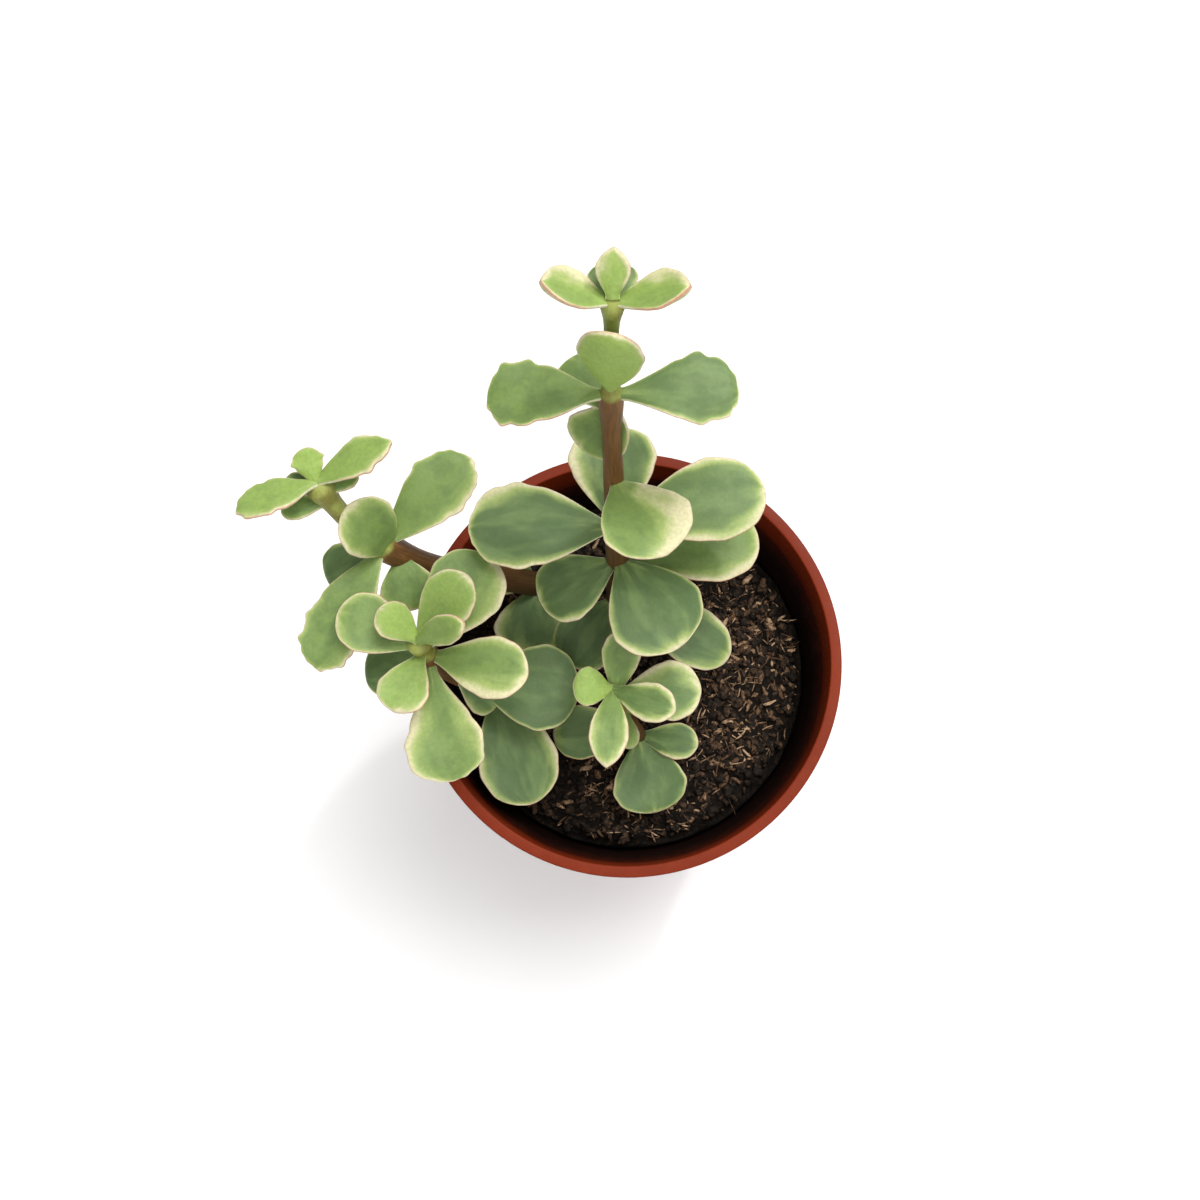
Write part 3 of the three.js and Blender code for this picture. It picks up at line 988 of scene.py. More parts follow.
@dataclass(frozen=True)
class Scatter:
    """Loose bits on the soil: how many there are, their size, their shape and their tone."""

    name: str
    count: int
    length: Span
    slimness: Span
    flatness: Span
    tone: Span
    roughness: float
    sunk: float
    patchy: float
    bent: float = 0.0
    seed: int = 1
    patch_size: float = 7.5
    heap_share: float = 0.95
    heaps: tuple[tuple[float, float, float], ...] = (
        (24.0, 6.0, 13.0),
        (2.0, -25.0, 11.0),
        (20.0, -16.0, 8.0),
    )
    patch_edges: Span = (0.5, 1.15)
    draws: int = 12
    rings: int = 4
    columns: int = 6
    bluntness: float = 0.7
    tilt: float = 0.3
    roll: float = 0.5

    def places(self, random: np.random.Generator, soil: Soil, reach: float) -> Array:
        """Draw places on the soil's top, thicker on random patches and on a few round heaps.

        Args:
            random: Source of the draws.
            soil: The soil that carries the bits.
            reach: Radius that they stay within.

        Returns:
            One place for each bit.
        """
        many = self.draws * self.count
        radius = reach * np.sqrt(random.uniform(0.0, 1.0, many))
        angle = random.uniform(0.0, TURN, many)
        x, y = radius * np.cos(angle), radius * np.sin(angle)
        patch = 0.5 + 0.5 * value_noise(x, y, self.patch_size, self.seed + 40)
        for middle_x, middle_y, spread in self.heaps:
            away = np.hypot(x - middle_x, y - middle_y) / spread
            patch = patch + self.heap_share * np.exp(-(away**2))
        likely = (1 - self.patchy) + self.patchy * smoothstep(patch, *self.patch_edges)
        kept = np.flatnonzero(random.uniform(0.0, 1.0, many) < likely)[: self.count]
        x, y = x[kept], y[kept]
        return np.stack([x, y, soil.height(x, y)], axis=-1)

    def build(self, soil: Soil, reach: float, material: Material) -> Piece:
        """Make the bits as one piece.

        A bit is a ball whose points go round rings: each axis is stretched by its own size, the
        surface is roughened at random, and the long axis may bend into an arc.

        Args:
            soil: The soil that carries them.
            reach: Radius that they stay within.
            material: Their material.

        Returns:
            The piece.
        """
        random = np.random.default_rng(self.seed)
        places = self.places(random, soil, reach)
        count = len(places)
        rings, columns = self.rings, self.columns
        polar = np.linspace(0.0, np.pi, rings + 2)[1:-1]
        angle = round_angles(columns)
        girth = np.sin(polar)[:, None] ** self.bluntness
        ball = np.stack([
            girth * np.cos(angle),
            girth * np.sin(angle),
            np.cos(polar)[:, None] + 0 * angle,
        ], axis=-1).reshape(-1, 3)
        ball = np.concatenate([ball, [[0.0, 0.0, 1.0], [0.0, 0.0, -1.0]]])
        length = random.uniform(*self.length, count)
        width = length * random.uniform(*self.slimness, count)
        thick = width * random.uniform(*self.flatness, count)
        rough = 1.0 + self.roughness * random.uniform(-1.0, 1.0, (count, len(ball), 3))
        bit = ball * rough * np.stack([width, thick, length], axis=-1)[:, None] / 2
        bow = self.bent * random.uniform(-1.0, 1.0, count)[:, None]
        bit[..., 0] += bow * (bit[..., 2] ** 2) / length[:, None]
        turn = random.uniform(0.0, TURN, count)
        tilt = random.normal(0.0, self.tilt, count)
        along = np.stack([np.cos(turn) * np.cos(tilt), np.sin(turn) * np.cos(tilt), np.sin(tilt)], axis=-1)
        flat = np.stack([-np.sin(turn), np.cos(turn), 0 * turn], axis=-1)
        over = np.cross(along, flat)
        spin = random.normal(0.0, self.roll, count)[:, None]
        side = flat * np.cos(spin) + over * np.sin(spin)
        up = np.cross(along, side)
        axes = np.stack([side, up, along], axis=1)
        points = places[:, None] + np.einsum("nij,njk->nik", bit, axes)
        points[..., 2] += ((0.5 - self.sunk) * thick)[:, None]
        pole = rings * columns
        body = tube_faces(rings, columns)
        caps = np.concatenate([
            cap_faces(0, pole, columns, True),
            cap_faces(pole - columns, pole + 1, columns, False),
        ])
        shift = (np.arange(count) * len(ball))[:, None, None]
        # The rings run from the far end of the long axis to the near one, so each face is turned.
        quads = (body[None, :, ::-1] + shift).reshape(-1, 4)
        thirds = (caps[None, :, ::-1] + shift).reshape(-1, 3)
        tone = np.repeat(random.uniform(*self.tone, count), len(ball))
        surface = Surface(points.reshape(-1, 3), [quads, thirds], {"tone": tone})
        piece = surface.to_object(self.name, material)
        return piece


class Growth(Enum):
    """How far a leaf has grown, which sets its green: 0 is the youngest."""

    BUD = 0.0
    YOUNG = 0.25
    GROWN = 0.6
    RIPE = 0.85
    OLD = 1.0


@dataclass(frozen=True)
class Leaf:
    """One leaf: where it grows, how it lies and how pale its margins are.

    at is its place on the stem's curve, compass the direction it points in from above (degrees
    anticlockwise from +X), rise its slope, bend how far it curves down along its length, roll its
    turn about its own length and cup how far its sides lift. left, right and far are the widths of
    its cream margins, as shares of half its width, as seen along it from the stem and from above.
    broaden says how its base widens, from 1.2 for straight to 1.7 for slim for longer, taper how
    its end narrows, from 0.6 for round to 1 for a point, and wave how strongly its edges wave.
    """

    at: float
    compass: float
    rise: float
    length: float
    width: float
    roll: float = 0.0
    bend: float = 20.0
    cup: float = 0.2
    growth: Growth = Growth.GROWN
    left: float = 0.16
    right: float = 0.16
    far: float = 0.08
    broaden: float = 1.2
    taper: float = 0.6
    wave: float = 0.5


@dataclass(frozen=True)
class LeafShape:
    """The form that all leaves share: obovate, fleshy, with a waved far edge."""

    middle_thickness: float = 1.9
    edge_thickness: float = 1.05
    petiole_half_width: float = 1.15
    petiole_end: float = 0.35
    petiole_taper: float = 0.7
    scallop: float = 0.03
    scallop_pitch: float = 0.22
    scallop_start: float = 0.42
    scallop_full: float = 0.6
    ripple: float = 0.05
    ripple_turns: float = 2.0
    tooth: float = 0.05
    tooth_pitch: float = 3.8
    tooth_start: float = 0.4
    tooth_full: float = 0.75
    toothed_length: float = 15.0
    other_tooth: float = 0.8
    other_pitch: float = 1.63
    plump: float = 0.55
    sunk: float = 0.2
    stations: int = 52
    columns: int = 28
    crowding: float = 1.7
    tip_start: float = 0.86
    end_start: float = 0.9
    least_margin: float = 0.15
    fade: float = 1.4
    far_scale: float = 2.5
    far_round: float = 0.15
    margin_growth: Span = (0.15, 0.5)
    halves: float = 0.35
    waver: Span = (0.3, 0.2)
    left_rates: Span = (6.0, 15.0)
    right_rates: Span = (5.0, 13.0)
    base_pallor: float = 0.3
    base_fade: Span = (0.03, 0.4)
    rim: float = 0.3
    rim_start: float = 0.985
    blush: Span = (0.35, 0.85)

    def half_width(self, u: Array, leaf: Leaf) -> Array:
        """Give half a leaf's width along it.

        The blade is u^broaden (1 - u)^taper, scaled to its width, with scallops over its far
        part. The width is the root of the sum of its square and the petiole's, which falls to 0
        at petiole_end.

        Args:
            u: Places along the leaf, 0 to 1.
            leaf: The leaf.

        Returns:
            Half widths in millimetres.
        """
        peak = leaf.broaden / (leaf.broaden + leaf.taper)
        most = peak**leaf.broaden * (1 - peak) ** leaf.taper
        blade = leaf.width / 2 * u**leaf.broaden * (1 - u) ** leaf.taper / most
        petiole = self.petiole_half_width * np.maximum(0.0, 1 - u / self.petiole_end) ** self.petiole_taper
        far = smoothstep(u, self.scallop_start, self.scallop_full)
        waves = leaf.wave * self.scallop * np.cos(TURN * u / self.scallop_pitch)
        return np.hypot(blade * (1 + far * waves), petiole)

    def teeth(self, leaf: Leaf, u: Array, reach: Array, phase: float) -> tuple[Array, Array]:
        """Set small blunt teeth round the far part of the outline.

        They are the sum of two sines of the distance along the outline from the tip, which counts
        up on one side and down on the other, pushed out square to the outline.

        Args:
            leaf: The leaf.
            u: Places along it.
            reach: Half widths there.
            phase: Where the sine starts.

        Returns:
            How far the left and the right edge move, each as moves along and across the leaf.
        """
        length = leaf.length * u
        run = np.hypot(np.diff(length), np.diff(reach))
        from_tip = np.concatenate([np.cumsum(run[::-1])[::-1], [0.0]])
        slope = np.stack([np.gradient(length), np.gradient(reach)])
        slope /= np.linalg.norm(slope, axis=0)
        size = leaf.wave**2 * self.tooth * smoothstep(u, self.tooth_start, self.tooth_full)
        size = size * min(1.0, leaf.length / self.toothed_length)
        turns = TURN * from_tip / self.tooth_pitch
        others = self.other_pitch * turns
        left = size * (np.sin(phase + turns) + self.other_tooth * np.sin(others + 2 * phase))
        right = size * (np.sin(phase - turns) + self.other_tooth * np.sin(2 * phase - others))
        square = np.stack([-slope[1], slope[0]])
        return (left * square).T, (right * square).T

    def surface(self, leaf: Leaf, root: Array, seed: int) -> Surface:
        """Make one leaf.

        Its middle line bends evenly from rise + bend/2 to rise - bend/2. Across it the blade lifts
        by cup v^2, ripples by v^3 and a sine of u, and is as thick as a lens with full edges:
        |sin|^plump of the angle round the section, whose cosine is v. The teeth push only what is
        near the edge or the tip.

        Args:
            leaf: The leaf's place and size.
            root: Where it leaves the stem.
            seed: Seed of its own small differences.

        Returns:
            The closed surface with its measures.
        """
        random = np.random.default_rng(seed)
        u = 1.0 - (1.0 - np.linspace(0.0, 1.0, self.stations + 2)[:-1]) ** self.crowding
        turn = math.radians(leaf.compass)
        heading = np.array([math.cos(turn), math.sin(turn), 0.0])
        sideways = np.array([-math.sin(turn), math.cos(turn), 0.0])
        upright = np.array([0.0, 0.0, 1.0])
        slope = np.radians(leaf.rise + leaf.bend * (0.5 - u))
        halfway = np.radians(leaf.rise + leaf.bend * (0.5 - (u[1:] + u[:-1]) / 2))
        step = leaf.length * np.diff(u)
        level = np.concatenate([[0.0], np.cumsum(step * np.cos(halfway))])[:, None]
        climb = np.concatenate([[0.0], np.cumsum(step * np.sin(halfway))])[:, None]
        middle = root + level * heading + climb * upright
        along = np.cos(slope)[:, None] * heading + np.sin(slope)[:, None] * upright
        square = np.cross(along, sideways)
        roll = math.radians(leaf.roll)
        across = sideways * math.cos(roll) + square * math.sin(roll)
        up = np.cross(along, across)
        reach = self.half_width(u, leaf)
        left, right = self.teeth(leaf, u, reach, random.uniform(0.0, TURN))
        angle = round_angles(self.columns)
        v = np.cos(angle)
        side = np.sign(np.sin(angle)) * np.abs(np.sin(angle)) ** self.plump
        thickness = self.middle_thickness + (self.edge_thickness - self.middle_thickness) * v**2
        tip = np.sqrt(1 - np.clip((u - self.tip_start) / (1 - self.tip_start), 0.0, 1.0) ** 2)[:, None]
        ripple = leaf.wave * self.ripple * np.sin(TURN * self.ripple_turns * u)[:, None]
        lift = reach[:, None] * (leaf.cup * v**2 + ripple * v**3) + tip * side * thickness / 2
        at_left = (1 + v) / 2
        near_edge = np.maximum(np.abs(v) ** 3, smoothstep(u, self.end_start, 1.0)[:, None])
        push = left[:, None] * at_left[:, None] + right[:, None] * (1 - at_left)[:, None]
        forth = push[..., 0] * near_edge
        aside = reach[:, None] * v + push[..., 1] * near_edge * v
        rings = middle[:, None] + along[:, None] * forth[..., None]
        rings = rings + across[:, None] * aside[..., None] + up[:, None] * lift[..., None]
        to_tip = along[-1] * (leaf.length * (1 - u[-1]) + left[-1, 0])
        measures = self.measures(leaf, u, v, reach, random)
        return Surface.tube(rings, root - self.sunk * along[0], middle[-1] + to_tip, measures)

    def wavered(self, u: Array, rates: Span, phases: Array) -> Array:
        """Let a margin's width waver along the leaf: 1, a slow sine of u and a fast one.

        Args:
            u: Places along the leaf.
            rates: How fast the two sines run.
            phases: Where they start.

        Returns:
            Shares of the width.
        """
        slow = self.waver[0] * np.sin(rates[0] * u + phases[0])
        return 1 + slow + self.waver[1] * np.sin(rates[1] * u + phases[1])

    def measures(
        self, leaf: Leaf, u: Array, v: Array, reach: Array, random: np.random.Generator
    ) -> dict[str, Array]:
        """Work out what the leaf's finish reads.

        pale is exp(-(inset / margin)^fade): 1 at the rim, falling over the margin's width, which
        goes from the left's to the right's with v and wavers along the leaf. edge is near 1 only
        at the rim: exp(-(inset / rim)^2).

        Args:
            leaf: The leaf.
            u: Places along it.
            v: Places across it.
            reach: Half widths at u.
            random: Source of its small differences.

        Returns:
            Named grids of values.
        """
        phases = random.uniform(0.0, TURN, 4)
        left = leaf.left * self.wavered(u, self.left_rates, phases[:2])
        right = leaf.right * self.wavered(u, self.right_rates, phases[2:])
        half = leaf.width / 2
        at_left = smoothstep(v, -self.halves, self.halves)
        grown = smoothstep(u, *self.margin_growth)[:, None]
        share = left[:, None] * at_left + right[:, None] * (1 - at_left)
        margin = half * share * grown + self.least_margin
        inset = reach[:, None] * (1 - np.abs(v))
        near_tip = leaf.length * (1 - u)[:, None] * (1 + self.far_round * (1 - np.abs(v)))
        uneven = 1 + self.waver[0] * np.sin(3 * v + phases[0])
        far = self.far_scale * half * leaf.far * uneven + self.least_margin
        pale_sides = np.exp(-((inset / margin) ** self.fade))
        pale_tip = np.exp(-((near_tip / far) ** self.fade))
        pale = 1 - (1 - pale_sides) * (1 - pale_tip)
        base = self.base_pallor * (1 - smoothstep(u, *self.base_fade))[:, None] + 0 * v
        rim_tip = smoothstep(u, self.rim_start, 1.0)[:, None]
        edge = 1 - (1 - np.exp(-((inset / self.rim) ** 2))) * (1 - rim_tip)
        grid = np.ones((len(u), len(v)))
        return {
            "along": u[:, None] * grid,
            "across": v * grid,
            "age": leaf.growth.value * grid,
            "pale": np.maximum(pale, base),
            "edge": edge * grid,
            "blush": random.uniform(*self.blush) * grown * grid,
            "seed": random.uniform() * grid,
        }


@dataclass(frozen=True)
class Stem:
    """One leafy stem: its curve, its radii at foot and tip, where its whorls are, and its leaves."""

    node: str
    path: tuple[tuple[float, float, float], ...]
    foot: float
    tip: float
    whorls: tuple[float, ...]
    leaves: tuple[Leaf, ...]
    seed: int
    green_from: float = 0.8
    stations: int = 110
    columns: int = 24
    swelling: float = 0.75
    swelling_below: float = 7.0
    swelling_above: float = 1.4
    swelling_growth: Span = (0.2, 0.8)
    flare: float = 1.1
    flare_length: float = 3.6
    taper: float = 1.6
    green_length: float = 6.0
    green_fade: float = 0.06
    collar_green: float = 0.85
    collar_growth: Span = (0.66, 0.78)
    old_bark: float = 0.85
    old_fade: Span = (0.15, 0.7)
    scar: float = 0.08
    scar_rate: float = 2.1
    scar_sharpness: int = 6
    tip_length: float = 1.2
    tip_rounding: float = 0.75
    waver: Span = (0.035, 0.02)
    waver_rate: float = 0.21
    bark_length: float = 20.0
    bark_turn: float = 3.0

    def curve(self, t: Array) -> tuple[Array, Array]:
        """Follow the stem's cubic curve, with path as its four control points.

        Args:
            t: Places on it, 0 at the foot to 1 at the tip.

        Returns:
            The points and the directions there, of length 1.
        """
        a, b, c, d = np.array(self.path)
        t = np.atleast_1d(t)[:, None]
        points = a * (1 - t) ** 3 + 3 * b * t * (1 - t) ** 2 + 3 * c * t**2 * (1 - t) + d * t**3
        rates = 3 * ((b - a) * (1 - t) ** 2 + 2 * (c - b) * t * (1 - t) + (d - c) * t**2)
        return points, rates / np.linalg.norm(rates, axis=1, keepdims=True)

    def skin(self) -> Surface:
        """Make the stem: a round bar along the curve.

        Its radius falls with t^taper from foot to tip, swells towards each node as a bell curve
        that is longer below than above, wavers a little, has fine scar rings on its old part and
        rounds off at the tip. It is green above each node and from green_from on.

        Returns:
            The closed surface with its measures.
        """
        random = np.random.default_rng(self.seed)
        t = np.linspace(0.0, 1.0, self.stations)
        points, along = self.curve(t)
        travelled = np.concatenate([[0.0], np.cumsum(np.linalg.norm(np.diff(points, axis=0), axis=1))])
        nodes = np.interp(self.whorls, t, travelled)
        above = travelled[:, None] - nodes
        last = nodes >= travelled[-1]
        below = np.where(last, self.flare_length, self.swelling_below)
        bells = np.exp(-((above / np.where(above < 0, below, self.swelling_above)) ** 2))
        bells = (bells * np.where(last, self.flare, self.swelling)).max(axis=1)
        radius = self.foot + (self.tip - self.foot) * t**self.taper
        radius = radius + smoothstep(t, *self.swelling_growth) * bells
        scars = np.maximum(0.0, np.sin(travelled * self.scar_rate + random.uniform(0, 6)))
        radius += self.scar * (1 - t) * scars**self.scar_sharpness
        end = np.clip((travelled - travelled[-1] + self.tip_length) / self.tip_length, 0.0, 1.0)
        radius *= np.sqrt(1 - self.tip_rounding * end**2)
        across = np.cross(along, np.array([0.0, 1.0, 0.0]))
        across /= np.linalg.norm(across, axis=1, keepdims=True)
        second = np.cross(along, across)
        angle = round_angles(self.columns)
        oval = self.waver[0] * np.sin(2 * angle + travelled[:, None] * self.waver_rate)
        reach = radius[:, None] * (1 + oval + self.waver[1] * np.sin(5 * angle + 1.0))
        rings = points[:, None] + across[:, None] * (reach * np.cos(angle))[..., None]
        rings = rings + second[:, None] * (reach * np.sin(angle))[..., None]
        grid = np.ones((len(t), self.columns))
        begun = smoothstep(above, -0.4, 1.0)
        ended = smoothstep(above, 0.5 * self.green_length, 1.3 * self.green_length)
        collar = (begun * (1 - ended)).max(axis=1)
        whole = smoothstep(t, self.green_from - self.green_fade, self.green_from + self.green_fade)
        green = np.maximum(whole, self.collar_green * collar * smoothstep(t, *self.collar_growth))
        measures = {
            "along": travelled[:, None] / self.bark_length * grid,
            "round": np.cos(angle) * grid,
            "turned": np.sin(angle) * self.bark_turn * grid,
            "green": green[:, None] * grid,
            "old": self.old_bark * (1 - smoothstep(t, *self.old_fade))[:, None] * grid,
        }
        top = points[-1] + along[-1] * self.tip * 0.4
        return Surface.tube(rings, points[0], top, measures)

    def build(self, shape: LeafShape, skin: Material, bark: Material) -> list[Piece]:
        """Make the stem's two pieces, its leaves and its bark.

        Args:
            shape: The form that the leaves share.
            skin: The leaves' material.
            bark: The stem's material.

        Returns:
            The leaves and the bark.
        """
        roots = self.curve(np.array([leaf.at for leaf in self.leaves]))[0]
        blades = [
            shape.surface(leaf, root, 100 * self.seed + number)
            for number, (leaf, root) in enumerate(zip(self.leaves, roots))
        ]
        leaves = Surface.joined(blades).to_object(f"{self.node}_leaves", skin)
        stalk = self.skin().to_object(f"{self.node}_bark", bark)
        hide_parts(self.node)
        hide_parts(self.node)
        return [leaves, stalk]


BUD, YOUNG, GROWN, RIPE, OLD = Growth

TALL_STEM = Stem(
    node="tall_stem",
    path=((-4, 11, 50), (1, 11, 85), (-3, 26, 115), (-0.5, 41, 155)),
    foot=2.5,
    tip=1.0,
    seed=1,
    green_from=0.86,
    whorls=(0.5, 0.825, 1.0),
    leaves=(
        Leaf(0.99, 174, 30, 12, 7.5, 20, -25, 0.35, YOUNG, 0.1, 0.95, 0.03, taper=0.75),
        Leaf(0.99, 3, 22, 12.5, 7.5, -20, -25, 0.35, YOUNG, 0.8, 0.08, 0.02, taper=0.75),
        Leaf(1, 87, 37, 7.5, 5.2, cup=0.3, growth=BUD, left=0.5, right=0.5, far=0.08, taper=0.9),
        Leaf(0.985, 88, 5, 6.5, 7.5, growth=OLD, left=0.04, right=0.04, far=0.03),
        Leaf(0.825, 181, 0, 20, 12, 10, left=0.04, right=0.05, far=0.02, broaden=1.5, wave=1.6),
        Leaf(0.825, 1, 0, 20.5, 12, -5, growth=RIPE, left=0.03, right=0.07, far=0.02, broaden=1.5, wave=1.4),
        # This leaf's BUD green is painted light: the paler green stands for light shining through the leaf.
        Leaf(0.84, 258, 97, 18, 10.5, bend=-35, growth=BUD, left=0.1, right=0.12, far=0.05),
        Leaf(0.79, 128, -5, 12, 8.5, left=0.05, right=0.05, far=0.05),
        Leaf(0.81, 210, -65, 16, 11, -35, -60, growth=GROWN, left=0.1, right=0.3, far=0.1),
        Leaf(0.495, 181, 5, 27, 16, bend=10, growth=OLD, left=0.08, right=0.2, far=0.03, wave=1),
        Leaf(0.5, 13, 2, 28, 15.5, growth=RIPE, left=0.12, right=0.24, far=0.06),
        Leaf(0.63, 301, 20, 18.5, 16, -10, left=1.4, right=0.05, far=0.08),
        Leaf(0.5, 93, 5, 18.5, 16, growth=OLD, left=0.3, right=0.12, far=0.1),
        Leaf(0.38, 11, -8, 28, 15.5, left=0.1, right=0.22, far=0.08),
        Leaf(0.39, 302, 8, 21.5, 18, growth=OLD, left=0.04, right=0.12, far=0.07),
        Leaf(0.38, 208, -10, 17, 13, growth=OLD, left=0.12, right=0.06),
        Leaf(0.22, 234, -10, 17, 13, growth=OLD, left=0.16, right=0.05, far=0.04),
        Leaf(0.22, 332, -10, 26, 12, growth=OLD, left=0.18, right=0.16),
    ),
)

LEFT_STEM = Stem(
    node="left_stem",
    path=((-8, 15, 50), (-20, 23, 66), (-43, 8, 90), (-53, 25, 115)),
    foot=2.7,
    tip=1.7,
    seed=2,
    green_from=0.78,
    whorls=(0.25, 0.77, 1.0),
    leaves=(
        Leaf(1, 207, 15, 15, 7.5, 20, growth=YOUNG, left=0.16, right=0.05, far=0.03, taper=0.8, wave=1.6),
        Leaf(1, 23, 15, 15.5, 7.5, -15, growth=YOUNG, left=0.08, right=0.2, far=0.03, taper=0.8, wave=1.6),
        Leaf(1, 110, 30, 6.5, 5.5, growth=BUD, left=0.1, right=0.06, far=0.02, wave=2),
        Leaf(0.97, 160, 5, 7.5, 4, growth=OLD, left=0.06, right=0.05),
        Leaf(0.97, 40, 0, 7, 5),
        Leaf(0.95, 193, 0, 9, 4.5),
        Leaf(0.75, 143, 63, 16.2, 11.5, bend=50, left=0.24, right=0.1, far=0.1),
        Leaf(0.77, 43, 10, 23, 12, left=0.04, right=0.16, far=0.03, wave=1.4),
        Leaf(0.77, 241, -5, 26, 11.5, left=0.2, right=0.05, far=0.04, wave=1.8),
        Leaf(0.77, 203, -20, 13.5, 9, growth=OLD, left=0.08, right=0.05, far=0.04),
        Leaf(0.72, 285, -12, 11, 11, left=0.1, right=0.1),
        Leaf(0.25, 262, -5, 15, 15, growth=OLD),
        Leaf(0.25, 163, 30, 14, 11, growth=OLD),
    ),
)

MIDDLE_STEM = Stem(
    node="middle_stem",
    path=((-16, -3, 50), (-28, -4, 66), (-36, -6, 82), (-37, -0.5, 101)),
    foot=2.2,
    tip=1.4,
    seed=3,
    green_from=0.93,
    whorls=(0.5, 0.9, 1.0),
    leaves=(
        Leaf(1, 143, 30, 9.5, 7, growth=BUD, left=0.24, right=0.1, far=0.12),
        Leaf(1, 46, 26, 16, 10, growth=YOUNG, left=0.12, right=0.24, far=0.08),
        Leaf(1, 5, 50, 15.5, 5.6, 25, growth=YOUNG, left=0.05, right=0.2, far=0.05),
        Leaf(0.93, 54, 3, 21, 14.5, left=0.04, right=0.46, far=0.05),
        Leaf(0.95, 158, 10, 16.5, 11, left=0.06, right=0.08, far=0.1),
        Leaf(0.88, 346, 15, 20.5, 11.5, left=0.14, right=0.4, far=0.1, broaden=1.4),
        Leaf(0.92, 250, 20, 13.5, 9.5, growth=YOUNG, left=0.28, right=0.16, far=0.06, broaden=1.5),
        Leaf(0.86, 282, 0, 23.5, 14.5, left=0.2, right=0.26, far=0.02, broaden=1.7, wave=1.2),
        Leaf(0.8, 187, -10, 14, 10, growth=OLD, left=0.04, right=0.04, far=0.02),
        Leaf(0.62, 322, -35, 11, 7, growth=OLD),
        Leaf(0.5, 353, 0, 21.5, 17, growth=OLD, left=0.05, right=0.04, far=0.03),
        Leaf(0.35, 288.5, 0, 25.5, 16, growth=OLD, left=0.14, right=0.1, far=0.03),
    ),
)

FRONT_SHOOT = Stem(
    node="front_shoot",
    path=((3, -15, 50), (3, -15, 66), (0, -11, 72), (-2.5, -7.5, 84)),
    foot=1.6,
    tip=1.1,
    seed=4,
    green_from=0.7,
    whorls=(0.4, 0.93, 1.0),
    leaves=(
        Leaf(1, 175, 20, 8, 7.5, growth=BUD, left=0.04, right=0.04, far=0.03),
        Leaf(1, 266, 18, 16, 7.5, left=0.3, right=0.24, far=0.08, taper=0.8),
        Leaf(1, 338, 24, 14, 7.5, growth=RIPE, left=0.24, right=0.3, far=0.1),
        Leaf(0.92, 4, 6, 16.5, 11.5, growth=RIPE, left=0.5, right=0.2, far=0.14),
        Leaf(0.94, 80, 22, 13, 7.5, left=0.2, right=0.2),
        Leaf(0.75, 280, 0, 8, 4.5, growth=YOUNG, left=0.3, right=0.3),
        Leaf(0.3, 350, 10, 12.5, 7.5, growth=OLD, left=0.12, right=0.16),
        Leaf(0.3, 282, 0, 16, 15, growth=OLD, left=0.04, right=0.05, far=0.03),
        Leaf(0.4, 182, 0, 17, 11, growth=OLD, left=0.04, right=0.06),
    ),
)

SCATTERS = (
    Scatter(
        name="soil_crumbs", count=1900, length=(0.7, 2.4), slimness=(0.5, 0.95), flatness=(0.5, 0.9),
        tone=(0.0, 0.22), roughness=0.34, sunk=0.35, patchy=0.0, seed=21,
    ),
    Scatter(
        name="bark_bits", count=420, length=(0.9, 3.2), slimness=(0.2, 0.6), flatness=(0.3, 0.6),
        tone=(0.15, 0.7), roughness=0.4, sunk=0.3, patchy=0.97, bent=0.3, seed=22,
    ),
    Scatter(
        name="bark_chips", count=420, length=(0.7, 3.0), slimness=(0.16, 0.48), flatness=(0.3, 0.6),
        tone=(0.3, 0.98), roughness=0.42, sunk=0.25, patchy=0.98, bent=0.2, seed=25,
    ),
    Scatter(
        name="fibre_bits", count=420, length=(1.4, 4.8), slimness=(0.05, 0.11), flatness=(0.5, 0.9),
        tone=(0.2, 0.95), roughness=0.16, sunk=0.1, patchy=0.95, bent=0.5, seed=23,
    ),
)
GRIT = Scatter(
    name="white_grit", count=4, length=(0.7, 1.3), slimness=(0.7, 1.0), flatness=(0.7, 1.0),
    tone=(0.9, 1.0), roughness=0.2, sunk=0.2, patchy=0.0, seed=29,
)
BITS_INSET = 1.2


@dataclass(frozen=True)
class Lamp:
    """One square lamp: its place and size in metres and its power in watts."""

    name: str
    place: tuple[float, float, float]
    size: float
    power: float


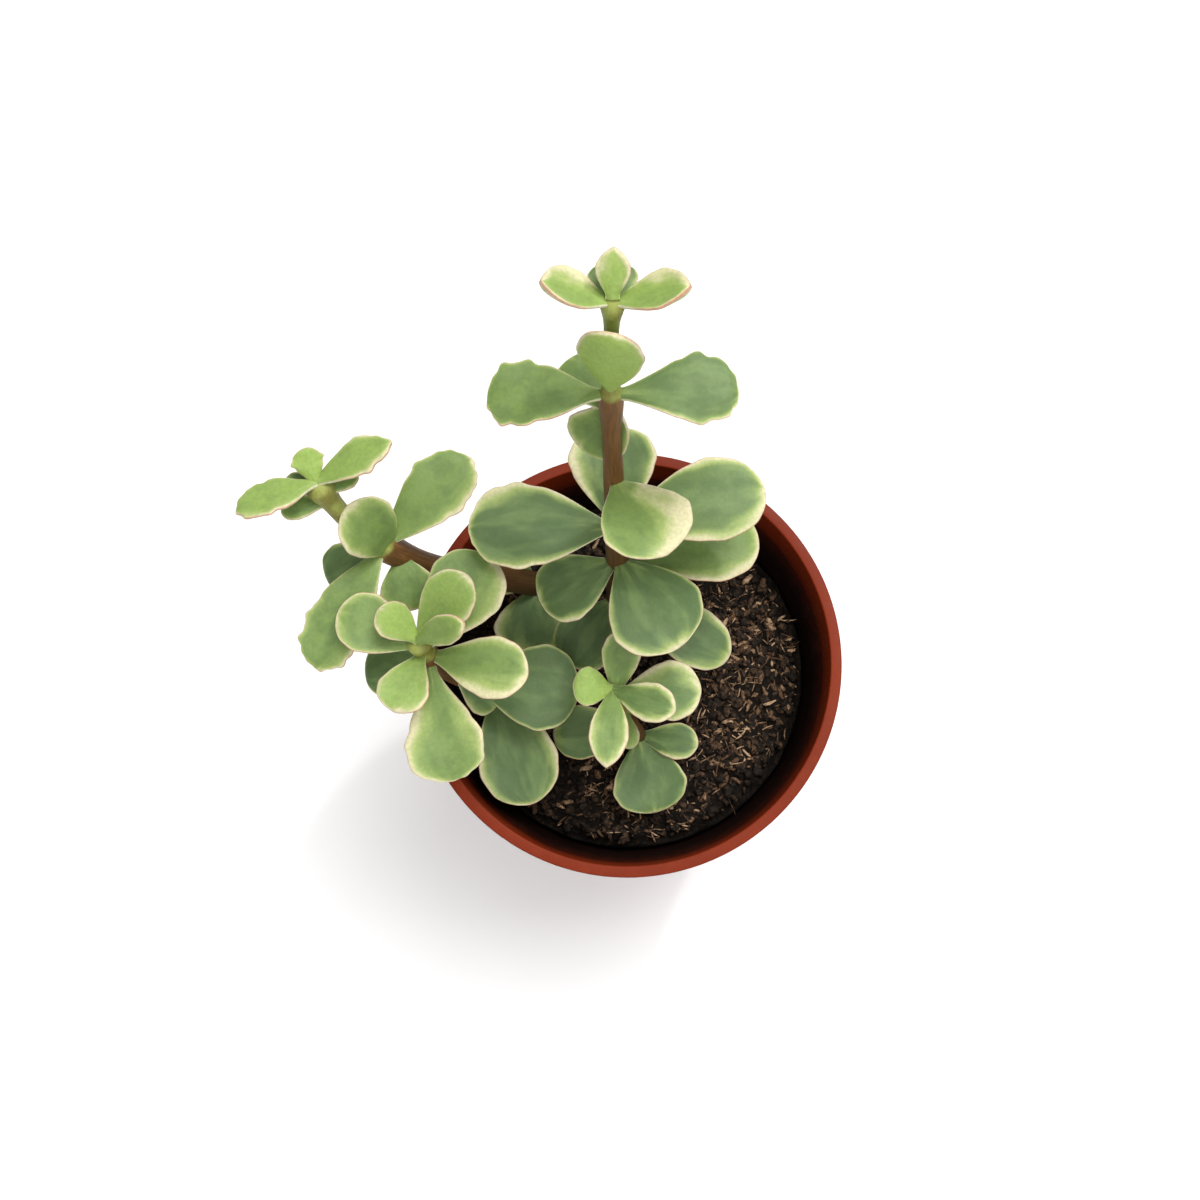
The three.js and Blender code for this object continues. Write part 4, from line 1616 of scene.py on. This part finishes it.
@dataclass(frozen=True)
class Studio:
    """Pale floor, a large lamp overhead with three smaller ones, and the camera high overhead.

    focal is in the picture's pixels. The camera's turn comes from where the view has the point
    straight below it: right of and under the picture's middle, in those pixels too. Its place is
    in millimetres.
    """

    floor_size: float = 2.4
    ambient: float = 0.22
    ceiling: Lamp = Lamp("ceiling_light", (0.0, 0.0, 1.3), 2.4, 16.0)
    key: Lamp = Lamp("key_light", (0.36, 0.42, 1.2), 0.7, 11.0)
    fill: Lamp = Lamp("fill_light", (0.2, -0.85, 0.8), 0.7, 4.0)
    sparkle: Lamp = Lamp("sparkle_light", (0.42, 0.55, 0.8), 0.05, 2.2)
    picture: float = 1200.0
    focal: float = 1375.0
    sensor: float = 36.0
    below: Span = (50.0, 272.0)
    camera_place: tuple[float, float, float] = (4.378, -41.416, 343.746)
    near_clip: float = 0.01
    far_clip: float = 20.0

    def floor(self) -> None:
        """Make the floor, a wide square under the pot."""
        half = self.floor_size / MM / 2
        corners = np.array([[-half, -half, 0.0], [half, -half, 0.0], [half, half, 0.0], [-half, half, 0.0]])
        square = Surface(corners, [np.array([[0, 1, 2, 3]])])
        square.to_object("floor", StudioFloor().make())

    def light(self) -> None:
        """Set the pale surroundings, and hang the lamps."""
        world = bpy.data.worlds.new("pale_studio")
        world.use_nodes = True
        world.node_tree.nodes["Background"].inputs["Strength"].default_value = self.ambient
        world.node_tree.nodes["Background"].inputs["Color"].default_value = (1.0, 1.0, 1.0, 1.0)
        bpy.context.scene.world = world
        for lamp in (self.ceiling, self.key, self.fill, self.sparkle):
            self.hang(lamp)

    def hang(self, lamp: Lamp) -> None:
        """Hang one square lamp so that it faces the origin.

        Args:
            lamp: Its place, size and power.
        """
        light = bpy.data.lights.new(lamp.name, "AREA")
        light.size = lamp.size
        light.energy = lamp.power
        place = np.array(lamp.place)
        back = place / np.linalg.norm(place)
        right = np.cross([0.0, 1.0, 0.0], back)
        right /= np.linalg.norm(right)
        piece = bpy.data.objects.new(lamp.name, light)
        self.turn(piece, right, np.cross(back, right), back, place)
        bpy.context.scene.collection.objects.link(piece)

    @staticmethod
    def turn(thing: Piece, right: Array, up: Array, back: Array, place: Array) -> None:
        """Stand a lamp or camera at a place, with its three axes as given.

        Args:
            thing: The lamp or camera.
            right: Direction of its right side.
            up: Direction of its top.
            back: Direction opposite to where it faces.
            place: Its place in metres.
        """
        matrix = np.eye(4)
        matrix[:3, 0], matrix[:3, 1], matrix[:3, 2], matrix[:3, 3] = right, up, back, place
        thing.matrix_world = Matrix(matrix.tolist())

    def camera(self) -> None:
        """Make the camera and set it as the scene's.

        In the camera's own axes, right, under and forward, the way down points to below at the
        distance focal. World X is square to it and as near to the camera's right as can be.
        """
        down = np.array([*self.below, self.focal])
        down /= np.linalg.norm(down)
        x = np.array([1.0, 0.0, 0.0]) - down[0] * down
        x /= np.linalg.norm(x)
        y = np.cross(-down, x)
        to_world = np.stack([x, y, -down])
        right, under, forward = to_world[:, 0], to_world[:, 1], to_world[:, 2]
        lens = bpy.data.cameras.new("camera")
        lens.sensor_width = self.sensor
        lens.lens = self.focal / self.picture * self.sensor
        lens.clip_start, lens.clip_end = self.near_clip, self.far_clip
        camera = bpy.data.objects.new("camera", lens)
        self.turn(camera, right, -under, -forward, np.array(self.camera_place) * MM)
        bpy.context.scene.collection.objects.link(camera)
        bpy.context.scene.camera = camera


def main() -> None:
    """Build every piece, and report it."""
    logging.basicConfig(level=logging.INFO, format="%(message)s")
    bpy.context.scene.view_settings.view_transform = "Standard"
    studio = Studio()
    studio.floor()
    studio.light()
    studio.camera()
    pot, soil = Pot(), Soil()
    pieces = [pot.build(), soil.plug(pot)]
    reach = pot.inner_radius(soil.top) - soil.edge_gap - BITS_INSET
    bits = SoilBits().make()
    pieces += [scatter.build(soil, reach, bits) for scatter in SCATTERS]
    pieces.append(GRIT.build(soil, reach, WhiteGrit().make()))
    shape, skin, bark = LeafShape(), LeafSkin().make(), StemBark().make()
    for stem in (TALL_STEM, LEFT_STEM, MIDDLE_STEM, FRONT_SHOOT):
        pieces += stem.build(shape, skin, bark)
    for piece in pieces:
        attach(piece, BODY)
        log.info("%s: %d faces", piece.name, len(piece.data.polygons))


if __name__ == "__main__":
    main()
